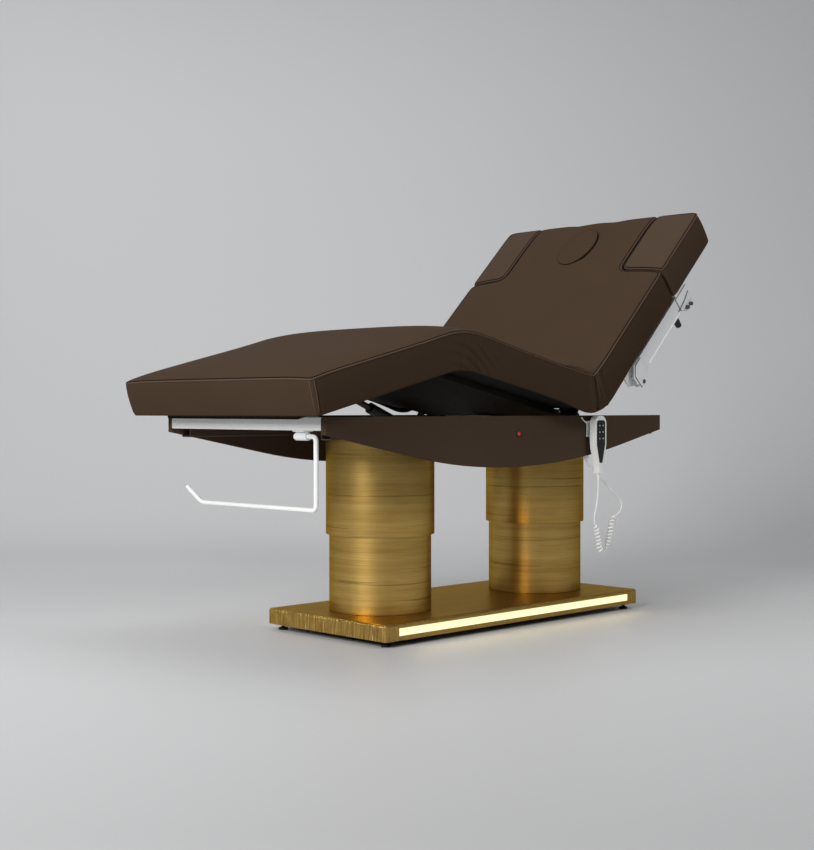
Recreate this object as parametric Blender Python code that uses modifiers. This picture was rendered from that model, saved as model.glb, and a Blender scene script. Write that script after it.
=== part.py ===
"""Electric massage table: a lit base, two telescopic columns, a lifting frame and a three-part padded top.

X runs from the foot end to the head end, Z is up, and -Y is the side with the handset, called left here,
because it is at the left hand of a person who lies on their back with the head at +X.
"""

import math

import bmesh
import bpy
from mathutils import Matrix, Vector

# Units and clearances.
MM = 0.001
FIT = 0.3 * MM  # between pieces that touch
RUN = 0.3 * MM  # radial play of a pin in its eye
OVERRUN = 2 * MM  # how far a cutter passes a face, and a joined shape sinks into its neighbour
WELD = 0.001 * MM
ROUND_STEPS = 48
FINE_STEPS = 16
ARC_STEPS = 8

# Base.
BASE_LENGTH = 1152 * MM
BASE_WIDTH = 509 * MM
BASE_BOTTOM = 18 * MM
BASE_HEIGHT = 47 * MM
BASE_SHEET = 3 * MM
BASE_CORNER = 7 * MM
LED_LENGTH = 1046 * MM
LED_HEIGHT = 21 * MM
LED_DEPTH = 9 * MM
LED_BULGE = 1.5 * MM
LED_ROUND = 1 * MM
TRAY_INSET = 12 * MM
TRAY_FLANGE = 6 * MM
TRAY_RIB = 5 * MM
TRAY_RIB_SPREAD = 190 * MM
FOOT_RADIUS = 14 * MM
FOOT_INSET = 32 * MM
FOOT_STEM = 6 * MM
FOOT_PAD_HEIGHT = 8 * MM

# Columns: a decorative tube and sleeve round a three-stage lifting column.
COLUMN_SPREAD = 709 * MM
TUBE_RADIUS = 152 * MM
SLEEVE_RADIUS = 161.8 * MM
COLUMN_WALL = 3 * MM
TUBE_TOP = 355 * MM
SLEEVE_BOTTOM = 291.6 * MM
SLEEVE_TOP = 579.7 * MM
SLEEVE_CAP = 5 * MM
SLEEVE_CHAMFER = 2 * MM
GUIDE_HEIGHT = 12 * MM
GUIDE_PLAY = 0.8 * MM
SEAM_GROOVE = 1 * MM
SEAM_GROOVE_Z = 410 * MM
STAGE_WIDTH = 170 * MM
STAGE_WALL = 4 * MM
STAGE_PLAY = 0.9 * MM
STAGE_FLOOR = 6 * MM
STAGE_CORNER = 12 * MM
HOUSING_TOP = 335 * MM
STAGE_BOTTOM = 180 * MM
STAGE_TOP = 450 * MM
RAM_BOTTOM = 290 * MM

# Lifting frame between the side panels.
PANEL_SPREAD = 687.5 * MM
PANEL_THICKNESS = 18 * MM
PANEL_FOOT_X = -873.7 * MM
PANEL_HEAD_X = 580.4 * MM
PANEL_TOP = 641 * MM
PANEL_FOOT_DEPTH = 46 * MM
PANEL_HEAD_DEPTH = 47 * MM
PANEL_BELLY_X = -160 * MM
PANEL_BELLY_DEPTH = 149.5 * MM
PANEL_FOOT_RADIUS = 1900 * MM
PANEL_HEAD_RADIUS = 2500 * MM
PANEL_EDGE = 1.5 * MM
RAIL_WIDTH = 40 * MM
RAIL_HEIGHT = 50 * MM
RAIL_WALL = 3 * MM
RAIL_CORNER = 4 * MM
RAIL_HEAD_X = 560 * MM
CROSS_LENGTH = 100 * MM
CROSS_SHEET = 4 * MM
FOOT_BAR_DEPTH = 35 * MM
FOOT_BAR_HEIGHT = 36 * MM
FOOT_BAR_WALL = 2.5 * MM
FOOT_BAR_CORNER = 3 * MM
LUG = 10 * MM
LUG_GAP = 4.3 * MM
LUG_FOOT = 20 * MM
SEAT_LUG = 7.2 * MM
BACK_LUG = 12 * MM

# Padded top: seen from the side it is three straight stretches, each with a board beneath.
SEAT_PIVOT_X = 115 * MM
FLAT_LEVEL = 661.35 * MM
SEAT_TILT = math.radians(11.68)
SEAT_LENGTH = 550 * MM
SEAT_TAIL = 57 * MM
SEAT_BOARD_TAIL = 30 * MM
LEG_TILT = math.radians(13.97)
LEG_LENGTH = 548 * MM
BACK_TILT = math.radians(44.75)
BACK_PIVOT_X = 203.8 * MM
BACK_PIVOT_DEPTH = 22.5 * MM
BACK_LENGTH = 826 * MM
BACK_START = -7.6 * MM
TOP_WIDTH = 820 * MM
SEAM_HEIGHT = 99.5 * MM
CROWN = 21 * MM
CROWN_LENGTH = 120 * MM
CUSHION_ROUND = 12 * MM
CUSHION_CORNER = 15 * MM
SIDE_DRAW = 5 * MM
KNEE_END_GAP = 0.5 * MM
KNEE_STEPS = 5
CREASE_LEAN = math.radians(38)
FOLD_GAP = 0.5 * MM
CREASE_CROWN_SHARE = 0.5
BOARD = 16 * MM
BOARD_WIDTH = 570 * MM
BOARD_END_GAP = 10 * MM
BOARD_EDGE = 1.5 * MM
LEG_BOARD_LENGTH = 500 * MM
BACK_BOARD_WIDTH = 600 * MM
BACK_BOARD_LENGTH = 770 * MM
BACK_BOARD_START = 26 * MM
BACK_BOARD_NECK = 480 * MM
BACK_BOARD_NECK_WIDTH = 470 * MM
BACK_BOARD_TAPER = 40 * MM
HINGE_PIN = 4 * MM
HINGE_BARREL = 8 * MM
KNEE_BARREL_LENGTH = 300 * MM
KNUCKLE_LENGTH = 50 * MM
KNUCKLE_GAP = 0.5 * MM
HINGE_LEAF = 15 * MM
BACK_BARREL = 10 * MM
BACK_ARM = 23 * MM
BACK_ARM_LENGTH = 70 * MM

# Head end: arm pads in the corners and an oval plug over the face hole.
PAD_START = 533 * MM
PAD_WIDTH = 157 * MM
PAD_GAP = 2.5 * MM
FACE_X = 690 * MM
FACE_LENGTH = 176 * MM
FACE_WIDTH = 126 * MM
FACE_BOARD_MARGIN = 12 * MM
PLUG_LIP = 9 * MM
PLUG_LIP_RISE = 8 * MM
PLUG_DEPTH = 62 * MM
PLUG_PLAY = 0.7 * MM

# Arm levers under the head end, in the back section's own frame; depths are below the cushion.
ARM_Y = 376 * MM
ARM_WIDTH = 44 * MM
ARM_DEPTH = 51 * MM
ARM_DROP = 24 * MM
ARM_SHEET = 2.5 * MM
ARM_START = 198 * MM
ARM_END = 612 * MM
ARM_PIVOT_X = 224 * MM
ARM_PIVOT_DEPTH = 91 * MM
ARM_LUG = 13 * MM
ARM_FLANGE_START = 284 * MM
QUADRANT_REACH = 44 * MM
QUADRANT_ROUND = 18 * MM
QUADRANT_SLOT_RADIUS = 34 * MM
QUADRANT_SLOT = 7 * MM
QUADRANT_SLOT_LOW = math.radians(76)
QUADRANT_SLOT_HIGH = math.radians(126)
QUADRANT_FLANGE = 96 * MM
GUIDE_PIN = 3.2 * MM
GUIDE_ANGLE = math.radians(119)
ARM_PIN = 4 * MM
ARM_BOLT_HEAD = 8 * MM
ARM_BOLT_RISE = 4 * MM
ARM_BLOCK_LENGTH = 67 * MM
PAD_PLATE = 5 * MM
PAD_PLATE_LENGTH = 245 * MM
PAD_PLATE_MARGIN = 10 * MM
LATCH_DEPTH = 26 * MM
LATCH_LENGTH = 84 * MM
LATCH_BOLT = 5 * MM
LATCH_BOLT_RISE = 2 * MM
ARM_KNOB_X = 508 * MM
ARM_KNOB_Y = 383 * MM
ARM_KNOB_LENGTH = 40 * MM
ARM_KNOB_RADIUS = 12 * MM
ARM_KNOB_TIP = 9.5 * MM
ARM_KNOB_STEM = 3 * MM
ARM_KNOB_STEM_LENGTH = 12 * MM

# Motors beneath the boards.
MOTOR_Y = 225 * MM
MOTOR_TUBE = 18 * MM
MOTOR_BORE = 10.5 * MM
MOTOR_ROD = 10 * MM
MOTOR_REACH = 235 * MM
MOTOR_BORE_START = 70 * MM
MOTOR_CASE_LENGTH = 80 * MM
MOTOR_CASE_START = 22 * MM
MOTOR_CASE_WIDTH = 44 * MM
MOTOR_CASE_HEIGHT = 50 * MM
MOTOR_CASE_EDGE = 4 * MM
MOTOR_EYE = 13 * MM
MOTOR_EYE_WIDTH = 12 * MM
MOTOR_PIN = 5 * MM
MOTOR_PIN_HEAD = 8 * MM
MOTOR_PIN_HEAD_WIDTH = 4 * MM
MOTOR_LUG = 12 * MM
MOTOR_LUG_DEPTH = 8 * MM
ROD_INNER_END = 140 * MM
ROD_EYE = 16 * MM
ROD_EYE_HOLE = 11.5 * MM
ROD_EYE_WIDTH = 10 * MM
ROD_TONGUE = 42 * MM
ROD_TONGUE_HEIGHT = 18 * MM
EAR_WIDTH = 6 * MM
EAR_GAP = 1 * MM
EAR_ROUND = 11 * MM
BACK_EAR_FOOT = 34 * MM
BACK_EAR_FOOT_LENGTH = 56 * MM
SEAT_EAR_FOOT = 28 * MM
BACK_MOTOR_X = -115 * MM
BACK_MOTOR_Z = 575 * MM
BACK_LEVER = 75 * MM
SEAT_MOTOR_X = 30 * MM
SEAT_MOTOR_Z = 575 * MM
SEAT_EAR_X = -395 * MM
SEAT_EAR_DEPTH = 32 * MM

# Control box, stop button and paper-roll holder.
CONTROL_LENGTH = 200 * MM
CONTROL_WIDTH = 150 * MM
CONTROL_HEIGHT = 46 * MM
CONTROL_EDGE = 4 * MM
BUTTON_X = -125 * MM
BUTTON_Z = 588.6 * MM
BEZEL_RADIUS = 9.5 * MM
BEZEL_RISE = 2.5 * MM
BEZEL_SHANK = 8 * MM
BEZEL_SHANK_LENGTH = 17 * MM
BUTTON_RADIUS = 5.5 * MM
BUTTON_LENGTH = 12 * MM
BUTTON_RISE = 1.5 * MM
BUTTON_TRAVEL = 3 * MM
PAPER_ROD = 6.5 * MM
PAPER_STUB_Y = -205 * MM
PAPER_STUB_DROP = 16 * MM
PAPER_SIDE_Y = -287 * MM
PAPER_BEND = 14 * MM
PAPER_DROP = 192 * MM
PAPER_FAR_Y = 205 * MM
PAPER_TIP_Y = 274 * MM
PAPER_TIP_RISE = 42 * MM
PAPER_COLLAR = 9 * MM
PAPER_COLLAR_WIDTH = 5 * MM
CLAMP_LENGTH = 46 * MM
CLAMP_RADIUS = 10.5 * MM
CLAMP_WEB = 8 * MM
CLAMP_PLATE = 3 * MM
CLAMP_PLATE_DEPTH = 30 * MM

# Handset, hook and curly cord.
HANDSET_X = 215 * MM
HANDSET_Y = -373 * MM
HANDSET_TOP = 640 * MM
HANDSET_LENGTH = 177 * MM
HANDSET_WIDTH = 54 * MM
HANDSET_DEPTH = 22 * MM
HANDSET_CORNER = 24 * MM
HANDSET_SHOULDER = 84 * MM
HANDSET_NECK_WIDTH = 18 * MM
HANDSET_NECK_LENGTH = 20 * MM
HANDSET_EDGE = 5 * MM
KEYPAD_LENGTH = 130 * MM
KEYPAD_TOP_GAP = 14 * MM
KEYPAD_WIDTH = 40 * MM
KEYPAD_FOOT_WIDTH = 13 * MM
KEYPAD_SHOULDER = 74 * MM
KEYPAD_CORNER = 8 * MM
KEYPAD_SHEET = 1.5 * MM
KEYPAD_SEAT = 1 * MM
KEY_WIDTH = 12 * MM
KEY_LENGTH = 15 * MM
KEY_CORNER = 2.5 * MM
KEY_RISE = 1 * MM
KEY_PITCH = 20 * MM
KEY_SPREAD = 16 * MM
KEY_FIRST = 16 * MM
KEY_PLAY = 0.4 * MM
KEY_DEPTH = 4 * MM
KEY_TRAVEL = 1 * MM
RELIEF_LENGTH = 24 * MM
RELIEF_RADIUS = 5.5 * MM
RELIEF_TIP = 4 * MM
CLIP_OFFSET = 18 * MM
CLIP_WIDTH = 14 * MM
CLIP_SHEET = 3.5 * MM
CLIP_STANDOFF = 11.5 * MM
CLIP_LEG = 49 * MM
HOOK_WIRE = 2 * MM
HOOK_BAR_Z = 618.6 * MM
HOOK_BAR_OUT = 9.7 * MM
HOOK_RISE = 17 * MM
HOOK_START = 47 * MM
HOOK_END = 24 * MM
HOOK_BEND = 7 * MM
CORD = 5 * MM
CURL_RADIUS = 7.5 * MM
CURL_PITCH = 11 * MM
CURL_POINTS = 9
CORD_STEPS = 24
GLAND_X = 203.5 * MM
GLAND_RADIUS = 8 * MM
GLAND_LENGTH = 12 * MM

# The cord's route from the gland to the handset, chosen by hand: x, y, z and whether it is curled there.
CORD_ROUTE = (
    (207.5, -336.0, 492.0, 0), (214.0, -343.0, 483.0, 0), (229.0, -353.0, 470.0, 0), (244.0, -358.0, 452.0, 0),
    (262.0, -364.0, 432.0, 0), (285.0, -370.0, 408.0, 0), (316.0, -372.0, 387.0, 0), (334.0, -372.0, 367.0, 0),
    (331.0, -372.0, 345.0, 0), (309.0, -372.0, 330.0, 0), (291.0, -372.0, 318.0, 1), (282.0, -372.0, 298.0, 1),
    (275.0, -372.0, 270.0, 1), (265.0, -372.0, 245.0, 1), (254.0, -372.0, 226.0, 0), (238.0, -372.0, 218.0, 0),
    (223.0, -372.0, 231.0, 1), (216.0, -372.0, 262.0, 1), (208.0, -372.0, 292.0, 1), (199.0, -372.0, 311.0, 0),
    (198.0, -372.0, 332.0, 0), (205.5, -373.0, 360.0, 0), (212.0, -373.0, 391.0, 0), (215.0, -373.0, 415.0, 0),
)

# Places that follow from the sizes above.
BASE_TOP = BASE_BOTTOM + BASE_HEIGHT
COLUMN_XS = {"foot": -COLUMN_SPREAD / 2, "head": COLUMN_SPREAD / 2}
SIDES = {"left": -1, "right": 1}
HALF_BOARD = BOARD / 2
HALF_TOP = TOP_WIDTH / 2
PAD_LEVEL = HALF_BOARD + FIT  # underside of the seat and leg cushions above their hinge line
PANEL_OUTER = PANEL_SPREAD / 2
PANEL_INNER = PANEL_OUTER - PANEL_THICKNESS
PANEL_MIDDLE = PANEL_OUTER - PANEL_THICKNESS / 2
RAIL_OUTER = PANEL_INNER - FIT
RAIL_INNER = RAIL_OUTER - RAIL_WIDTH
RAIL_BOTTOM = SLEEVE_TOP + FIT
RAIL_TOP = RAIL_BOTTOM + RAIL_HEIGHT
FOOT_BAR_X = PANEL_FOOT_X + FOOT_BAR_DEPTH / 2
LUG_Y = RAIL_INNER + LUG_GAP + LUG / 2
SEAT_PIVOT = Vector((SEAT_PIVOT_X, 0, FLAT_LEVEL - HALF_BOARD))
KNEE = SEAT_PIVOT + SEAT_LENGTH * Vector((-math.cos(SEAT_TILT), 0, math.sin(SEAT_TILT)))
KNEE_BEND = SEAT_TILT + LEG_TILT
BACK_PIVOT = Vector((BACK_PIVOT_X, 0, FLAT_LEVEL - BACK_PIVOT_DEPTH))
BACK_UNDERSIDE = BACK_PIVOT_DEPTH - FIT
MOTOR_PIVOTS = {"left": (BACK_MOTOR_X, BACK_MOTOR_Z), "right": (SEAT_MOTOR_X, SEAT_MOTOR_Z)}
LEVER_END = BACK_PIVOT + BACK_LEVER * Vector((math.sin(BACK_TILT), 0, -math.cos(BACK_TILT)))
HANDSET_BOTTOM = HANDSET_TOP - HANDSET_LENGTH


def along(pivot, tilt, x, z):
    """A point at x along a section and z above it, in the table's frame."""
    return pivot + Vector((x * math.cos(tilt) + z * math.sin(tilt), 0, -x * math.sin(tilt) + z * math.cos(tilt)))


SEAT_EAR = along(SEAT_PIVOT, SEAT_TILT, SEAT_EAR_X, -SEAT_EAR_DEPTH)
FOOT_END_X = along(KNEE, -LEG_TILT, -LEG_LENGTH, PAD_LEVEL + SEAM_HEIGHT).x
HEAD_END_X = along(BACK_PIVOT, -BACK_TILT, BACK_LENGTH, BACK_PIVOT_DEPTH + CUSHION_ROUND).x
ORIGIN_X = (FOOT_END_X + HEAD_END_X) / 2  # the origin is on the floor, below the middle of the whole length

# Finishes: colour, roughness and metallic value.
LEATHER = ((0.062, 0.036, 0.024), 0.45, 0.0)
PANEL_LEATHER = ((0.036, 0.023, 0.016), 0.5, 0.0)
GOLD = ((0.42, 0.28, 0.085), 0.3, 1.0)
STEEL = ((0.45, 0.45, 0.46), 0.35, 1.0)
DARK_STEEL = ((0.05, 0.05, 0.05), 0.5, 0.6)
WHITE_PAINT = ((0.75, 0.75, 0.74), 0.4, 0.0)
GREY_PAINT = ((0.42, 0.42, 0.41), 0.45, 0.0)
BLACK_WOOD = ((0.02, 0.017, 0.014), 0.6, 0.0)
BLACK_PLASTIC = ((0.02, 0.02, 0.02), 0.45, 0.0)
WHITE_PLASTIC = ((0.8, 0.8, 0.8), 0.35, 0.0)
RED_PLASTIC = ((0.6, 0.02, 0.02), 0.35, 0.0)
LIT_PLASTIC = ((1.0, 0.9, 0.5), 0.4, 0.0)

for item in list(bpy.data.objects):
    bpy.data.objects.remove(item, do_unlink=True)

PARTS = bpy.data.collections.new("massage_table")
SHAPES = bpy.data.collections.new("cutters_and_joined_shapes")
for collection in (PARTS, SHAPES):
    bpy.context.scene.collection.children.link(collection)
SHAPES.hide_render = True
HELD = {}  # for an axis whose pieces stay in its parent's frame: the inverse of its own place


def axis(name, parent, at, tilt=0.0, own_frame=True):
    """An empty on a joint's axis; what hangs on it is placed in its frame or, if told so, in its parent's."""
    empty = bpy.data.objects.new(name, None)
    PARTS.objects.link(empty)
    empty.parent = parent
    if parent:
        empty.matrix_parent_inverse = HELD[parent.name]
    empty.location = at
    empty.rotation_euler.y = tilt
    place = Matrix.Translation(at) @ Matrix.Rotation(tilt, 4, "Y")
    HELD[name] = Matrix() if own_frame else place.inverted()
    return empty


def shape(data, parent, at=(0, 0, 0), turn=(0, 0, 0)):
    """A helper object: a cutter, or a shape that is joined or kept."""
    made = bpy.data.objects.new("shape", data)
    SHAPES.objects.link(made)
    made.parent = parent
    made.matrix_parent_inverse = HELD[parent.name]
    made.location = at
    made.rotation_euler = turn
    made.hide_render = True
    made.display_type = "WIRE"
    return made


def keep(made, name, finish):
    """Turns a helper into a named piece of the table with its own material."""
    SHAPES.objects.unlink(made)
    PARTS.objects.link(made)
    made.hide_render = False
    made.display_type = "TEXTURED"
    made.name = name
    made.data.name = name
    colour, roughness, metallic = finish
    material = bpy.data.materials.new(name)
    material.use_nodes = True
    shader = material.node_tree.nodes["Principled BSDF"]
    shader.inputs["Base Color"].default_value = (*colour, 1)
    shader.inputs["Roughness"].default_value = roughness
    shader.inputs["Metallic"].default_value = metallic
    made.data.materials.append(material)
    made.data.shade_smooth()
    made.data.set_sharp_from_angle(angle=math.radians(35))
    return made


def combine(made, operation, others):
    """Adds an exact Boolean with each of the other shapes."""
    for other in others:
        modifier = made.modifiers.new(operation.lower(), "BOOLEAN")
        modifier.operation = operation
        modifier.solver = "EXACT"
        modifier.object = other
    return made


def cut(made, *others):
    return combine(made, "DIFFERENCE", others)


def join(made, *others):
    return combine(made, "UNION", others)


def bevel(made, width, segments=2, angle=35):
    modifier = made.modifiers.new("bevel", "BEVEL")
    modifier.width = width
    modifier.segments = segments
    modifier.limit_method = "ANGLE"
    modifier.angle_limit = math.radians(angle)
    return made


def mesh_from(form):
    bmesh.ops.recalc_face_normals(form, faces=form.faces)
    mesh = bpy.data.meshes.new("shape")
    form.to_mesh(mesh)
    form.free()
    return mesh


def box(parent, low, high):
    """A box between two opposite corners."""
    low, high = Vector(low), Vector(high)
    form = bmesh.new()
    bmesh.ops.create_cube(form, size=1, matrix=Matrix.Diagonal((*(high - low), 1)))
    return shape(mesh_from(form), parent, (low + high) / 2)


def side_box(parent, side, xs, ys, zs):
    """A box whose y limits are given for the right side and mirrored for the left."""
    near, far = sorted(side * y for y in ys)
    return box(parent, (xs[0], near, zs[0]), (xs[1], far, zs[1]))


def rod(parent, start, end, radius, end_radius=None, steps=FINE_STEPS):
    """A round bar or cone between two points."""
    start, end = Vector(start), Vector(end)
    form = bmesh.new()
    bmesh.ops.create_cone(
        form, cap_ends=True, segments=steps, radius1=radius,
        radius2=radius if end_radius is None else end_radius, depth=(end - start).length,
    )
    turn = (end - start).to_track_quat("Z", "Y").to_euler()
    return shape(mesh_from(form), parent, (start + end) / 2, turn)


def cross_rod(parent, x, z, ys, radius, steps=FINE_STEPS):
    """A round bar along Y."""
    return rod(parent, (x, min(ys), z), (x, max(ys), z), radius, steps=steps)


def turned(parent, profile, at):
    """A body turned about Z from (radius, height) points that run down the outer side."""
    form = bmesh.new()
    points = [form.verts.new((radius, 0, height)) for radius, height in profile]
    closes = profile[0][0] > 0
    for one, other in zip(points, points[1:] + points[:1] if closes else points[1:]):
        form.edges.new((one, other))
    mesh = bpy.data.meshes.new("shape")
    form.to_mesh(mesh)
    form.free()
    made = shape(mesh, parent, at)
    modifier = made.modifiers.new("turn", "SCREW")
    modifier.steps = ROUND_STEPS
    modifier.render_steps = ROUND_STEPS
    modifier.use_merge_vertices = True
    modifier.merge_threshold = WELD
    return made


TURNS = {"x": (math.pi / 2, 0, math.pi / 2), "y": (math.pi / 2, 0, 0), "z": (0, 0, 0)}
SPOTS = {"x": lambda middle: (middle, 0, 0), "y": lambda middle: (0, middle, 0), "z": lambda middle: (0, 0, middle)}


def welded(curve):
    """The curve's solid as a mesh object in the same place."""
    bpy.context.view_layer.update()
    graph = bpy.context.evaluated_depsgraph_get()
    mesh = bpy.data.meshes.new_from_object(curve.evaluated_get(graph))
    form = bmesh.new()
    form.from_mesh(mesh)
    bmesh.ops.remove_doubles(form, verts=form.verts, dist=WELD)
    bpy.data.meshes.remove(mesh)
    made = shape(mesh_from(form), curve.parent, curve.location, curve.rotation_euler)
    bpy.data.objects.remove(curve, do_unlink=True)
    return made


def plate(parent, along_axis, loops, low, high):
    """Flat outlines, the later ones holes, drawn across an axis and extruded between two places on it."""
    data = bpy.data.curves.new("shape", "CURVE")
    data.dimensions = "2D"
    data.fill_mode = "BOTH"
    data.extrude = abs(high - low) / 2
    for loop in loops:
        spline = data.splines.new("POLY")
        spline.points.add(len(loop) - 1)
        for point, (u, v) in zip(spline.points, loop):
            point.co = (u, v, 0, 1)
        spline.use_cyclic_u = True
    return welded(shape(data, parent, SPOTS[along_axis]((low + high) / 2), TURNS[along_axis]))


def side_plate(parent, side, loops, ys):
    """An XZ plate whose y limits are given for the right side and mirrored for the left."""
    near, far = sorted(side * y for y in ys)
    return plate(parent, "y", loops, near, far)


def arc(u, v, radius, start, end, steps=ARC_STEPS):
    """Points along an arc, both ends included."""
    angles = [start + (end - start) * i / steps for i in range(steps + 1)]
    return [(u + radius * math.cos(angle), v + radius * math.sin(angle)) for angle in angles]


def circle(u, v, radius, steps=FINE_STEPS):
    return arc(u, v, radius, 0, math.tau, steps)[:-1]


def oval(u, v, length, width, steps=ROUND_STEPS // 2):
    return [(u + length / 2 * a, v + width / 2 * b) for a, b in circle(0, 0, 1, steps)]


def rounded(u0, v0, u1, v1, radius, steps=2):
    """A rectangle with round corners."""
    quarter = math.pi / 2
    centres = (
        (u1 - radius, v0 + radius, -quarter), (u1 - radius, v1 - radius, 0),
        (u0 + radius, v1 - radius, quarter), (u0 + radius, v0 + radius, 2 * quarter),
    )
    return [point for u, v, start in centres for point in arc(u, v, radius, start, start + quarter, steps)]


def loft(parent, rings):
    """A closed skin over rings of equally many points, with flat ends."""
    form = bmesh.new()
    rows = [[form.verts.new(point) for point in ring] for ring in rings]
    for row, after in zip(rows, rows[1:]):
        for i, point in enumerate(row):
            form.faces.new((row[i - 1], point, after[i], after[i - 1]))
    form.faces.new(rows[0])
    form.faces.new(rows[-1])
    return shape(mesh_from(form), parent)


def base():
    """The lit base: a folded sheet shell, the tray with its feet inside, and a light strip on each long side."""
    form = bmesh.new()
    bmesh.ops.create_cube(form, size=1, matrix=Matrix.Diagonal((BASE_LENGTH, BASE_WIDTH, BASE_HEIGHT, 1)))
    bottom = min(form.faces, key=lambda face: face.calc_center_median().z)
    bmesh.ops.delete(form, geom=[bottom], context="FACES_ONLY")
    folded = [edge for edge in form.edges if len(edge.link_faces) == 2]
    bmesh.ops.bevel(form, geom=folded, offset=BASE_CORNER, segments=3, profile=0.5, affect="EDGES")
    shell = shape(mesh_from(form), TABLE, (0, 0, BASE_BOTTOM + BASE_HEIGHT / 2))
    solidify = shell.modifiers.new("sheet", "SOLIDIFY")
    solidify.thickness = BASE_SHEET
    solidify.offset = -1
    solidify.use_even_offset = True
    middle = BASE_BOTTOM + BASE_HEIGHT / 2
    half_slot = LED_HEIGHT / 2 + FIT
    slot = box(
        TABLE, (-LED_LENGTH / 2 - FIT, -BASE_WIDTH, middle - half_slot),
        (LED_LENGTH / 2 + FIT, BASE_WIDTH, middle + half_slot),
    )
    keep(cut(shell, slot), "base_plate", GOLD)

    for name, side in SIDES.items():
        face = BASE_WIDTH / 2 + LED_BULGE
        strip = side_box(
            TABLE, side, (-LED_LENGTH / 2, LED_LENGTH / 2), (face - LED_DEPTH, face),
            (middle - LED_HEIGHT / 2, middle + LED_HEIGHT / 2),
        )
        keep(bevel(strip, LED_ROUND), "led_strip_" + name, LIT_PLASTIC)

    half_length = BASE_LENGTH / 2 - TRAY_INSET
    half_width = BASE_WIDTH / 2 - TRAY_INSET
    flange_top = BASE_BOTTOM + TRAY_FLANGE
    tray = box(TABLE, (-half_length, -half_width, BASE_BOTTOM), (half_length, half_width, flange_top))
    for side in SIDES.values():
        middle_y = TRAY_RIB_SPREAD / 2
        rib = side_box(
            TABLE, side, (TRAY_RIB - half_length, half_length - TRAY_RIB),
            (middle_y - TRAY_RIB / 2, middle_y + TRAY_RIB / 2), (BASE_BOTTOM + OVERRUN, BASE_TOP - BASE_SHEET - FIT),
        )
        join(tray, rib)
        for end in (-1, 1):
            x = end * (BASE_LENGTH / 2 - FOOT_INSET)
            y = side * (BASE_WIDTH / 2 - FOOT_INSET)
            foot = turned(
                TABLE,
                [(0, BASE_BOTTOM + OVERRUN), (FOOT_STEM, BASE_BOTTOM + OVERRUN), (FOOT_STEM, FOOT_PAD_HEIGHT),
                 (FOOT_RADIUS, FOOT_PAD_HEIGHT - OVERRUN), (FOOT_RADIUS, 0), (0, 0)],
                (x, y, 0),
            )
            foot.modifiers["turn"].steps = FINE_STEPS
            foot.modifiers["turn"].render_steps = FINE_STEPS
            join(tray, foot)
    keep(tray, "base_tray", DARK_STEEL)


def square_ring(parent, x, width, bottom, top):
    """A square lifting tube, open at both ends."""
    half = width / 2
    inner = half - STAGE_WALL
    loops = (
        rounded(x - half, -half, x + half, half, STAGE_CORNER),
        rounded(x - inner, -inner, x + inner, inner, STAGE_CORNER - STAGE_WALL),
    )
    return plate(parent, "z", loops, bottom, top)


def column(end):
    """One column: the round tube and sleeve outside, and the three square lifting stages inside."""
    x = COLUMN_XS[end]
    foot = BASE_TOP + FIT
    bore = TUBE_RADIUS - COLUMN_WALL
    tube = turned(TABLE, [(TUBE_RADIUS, TUBE_TOP), (TUBE_RADIUS, foot), (bore, foot), (bore, TUBE_TOP)], (x, 0, 0))
    keep(tube, "column_tube_" + end, GOLD)

    inside = SLEEVE_RADIUS - COLUMN_WALL
    guide = TUBE_RADIUS + GUIDE_PLAY
    groove = SLEEVE_RADIUS - SEAM_GROOVE
    guide_top = SLEEVE_BOTTOM + GUIDE_HEIGHT
    profile = [
        (0, SLEEVE_TOP), (SLEEVE_RADIUS - SLEEVE_CHAMFER, SLEEVE_TOP), (SLEEVE_RADIUS, SLEEVE_TOP - SLEEVE_CHAMFER),
        (SLEEVE_RADIUS, SEAM_GROOVE_Z + SEAM_GROOVE), (groove, SEAM_GROOVE_Z),
        (SLEEVE_RADIUS, SEAM_GROOVE_Z - SEAM_GROOVE), (SLEEVE_RADIUS, SLEEVE_BOTTOM),
        (guide, SLEEVE_BOTTOM), (guide, guide_top),
        (inside, guide_top), (inside, SLEEVE_TOP - SLEEVE_CAP), (0, SLEEVE_TOP - SLEEVE_CAP),
    ]
    keep(turned(LIFT, profile, (x, 0, 0)), "column_sleeve_" + end, GOLD)

    stage_width = STAGE_WIDTH - 2 * (STAGE_WALL + STAGE_PLAY)
    ram_width = stage_width - 2 * (STAGE_WALL + STAGE_PLAY)
    housing = square_ring(TABLE, x, STAGE_WIDTH, foot, HOUSING_TOP)
    inner = STAGE_WIDTH / 2 - STAGE_WALL / 2
    floor = box(TABLE, (x - inner, -inner, foot), (x + inner, inner, foot + STAGE_FLOOR))
    keep(join(housing, floor), "lift_housing_" + end, STEEL)
    keep(square_ring(STAGES, x, stage_width, STAGE_BOTTOM, STAGE_TOP), "lift_stage_" + end, STEEL)
    ram_top = SLEEVE_TOP - SLEEVE_CAP - FIT
    ram = square_ring(LIFT, x, ram_width, RAM_BOTTOM, ram_top)
    head = ram_width / 2 - STAGE_WALL / 2
    lid = box(LIFT, (x - head, -head, ram_top - STAGE_FLOOR), (x + head, head, ram_top))
    keep(join(ram, lid), "lift_ram_" + end, STEEL)


def tangent(x, z, centre_x, centre_z, radius, side):
    """The angle, from straight down, of the point where the line from (x, z) touches a circle above it."""
    away = math.hypot(x - centre_x, z - centre_z)
    towards = math.atan2(abs(x - centre_x), centre_z - z)
    return side * (towards - math.acos(radius / away))


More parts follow.
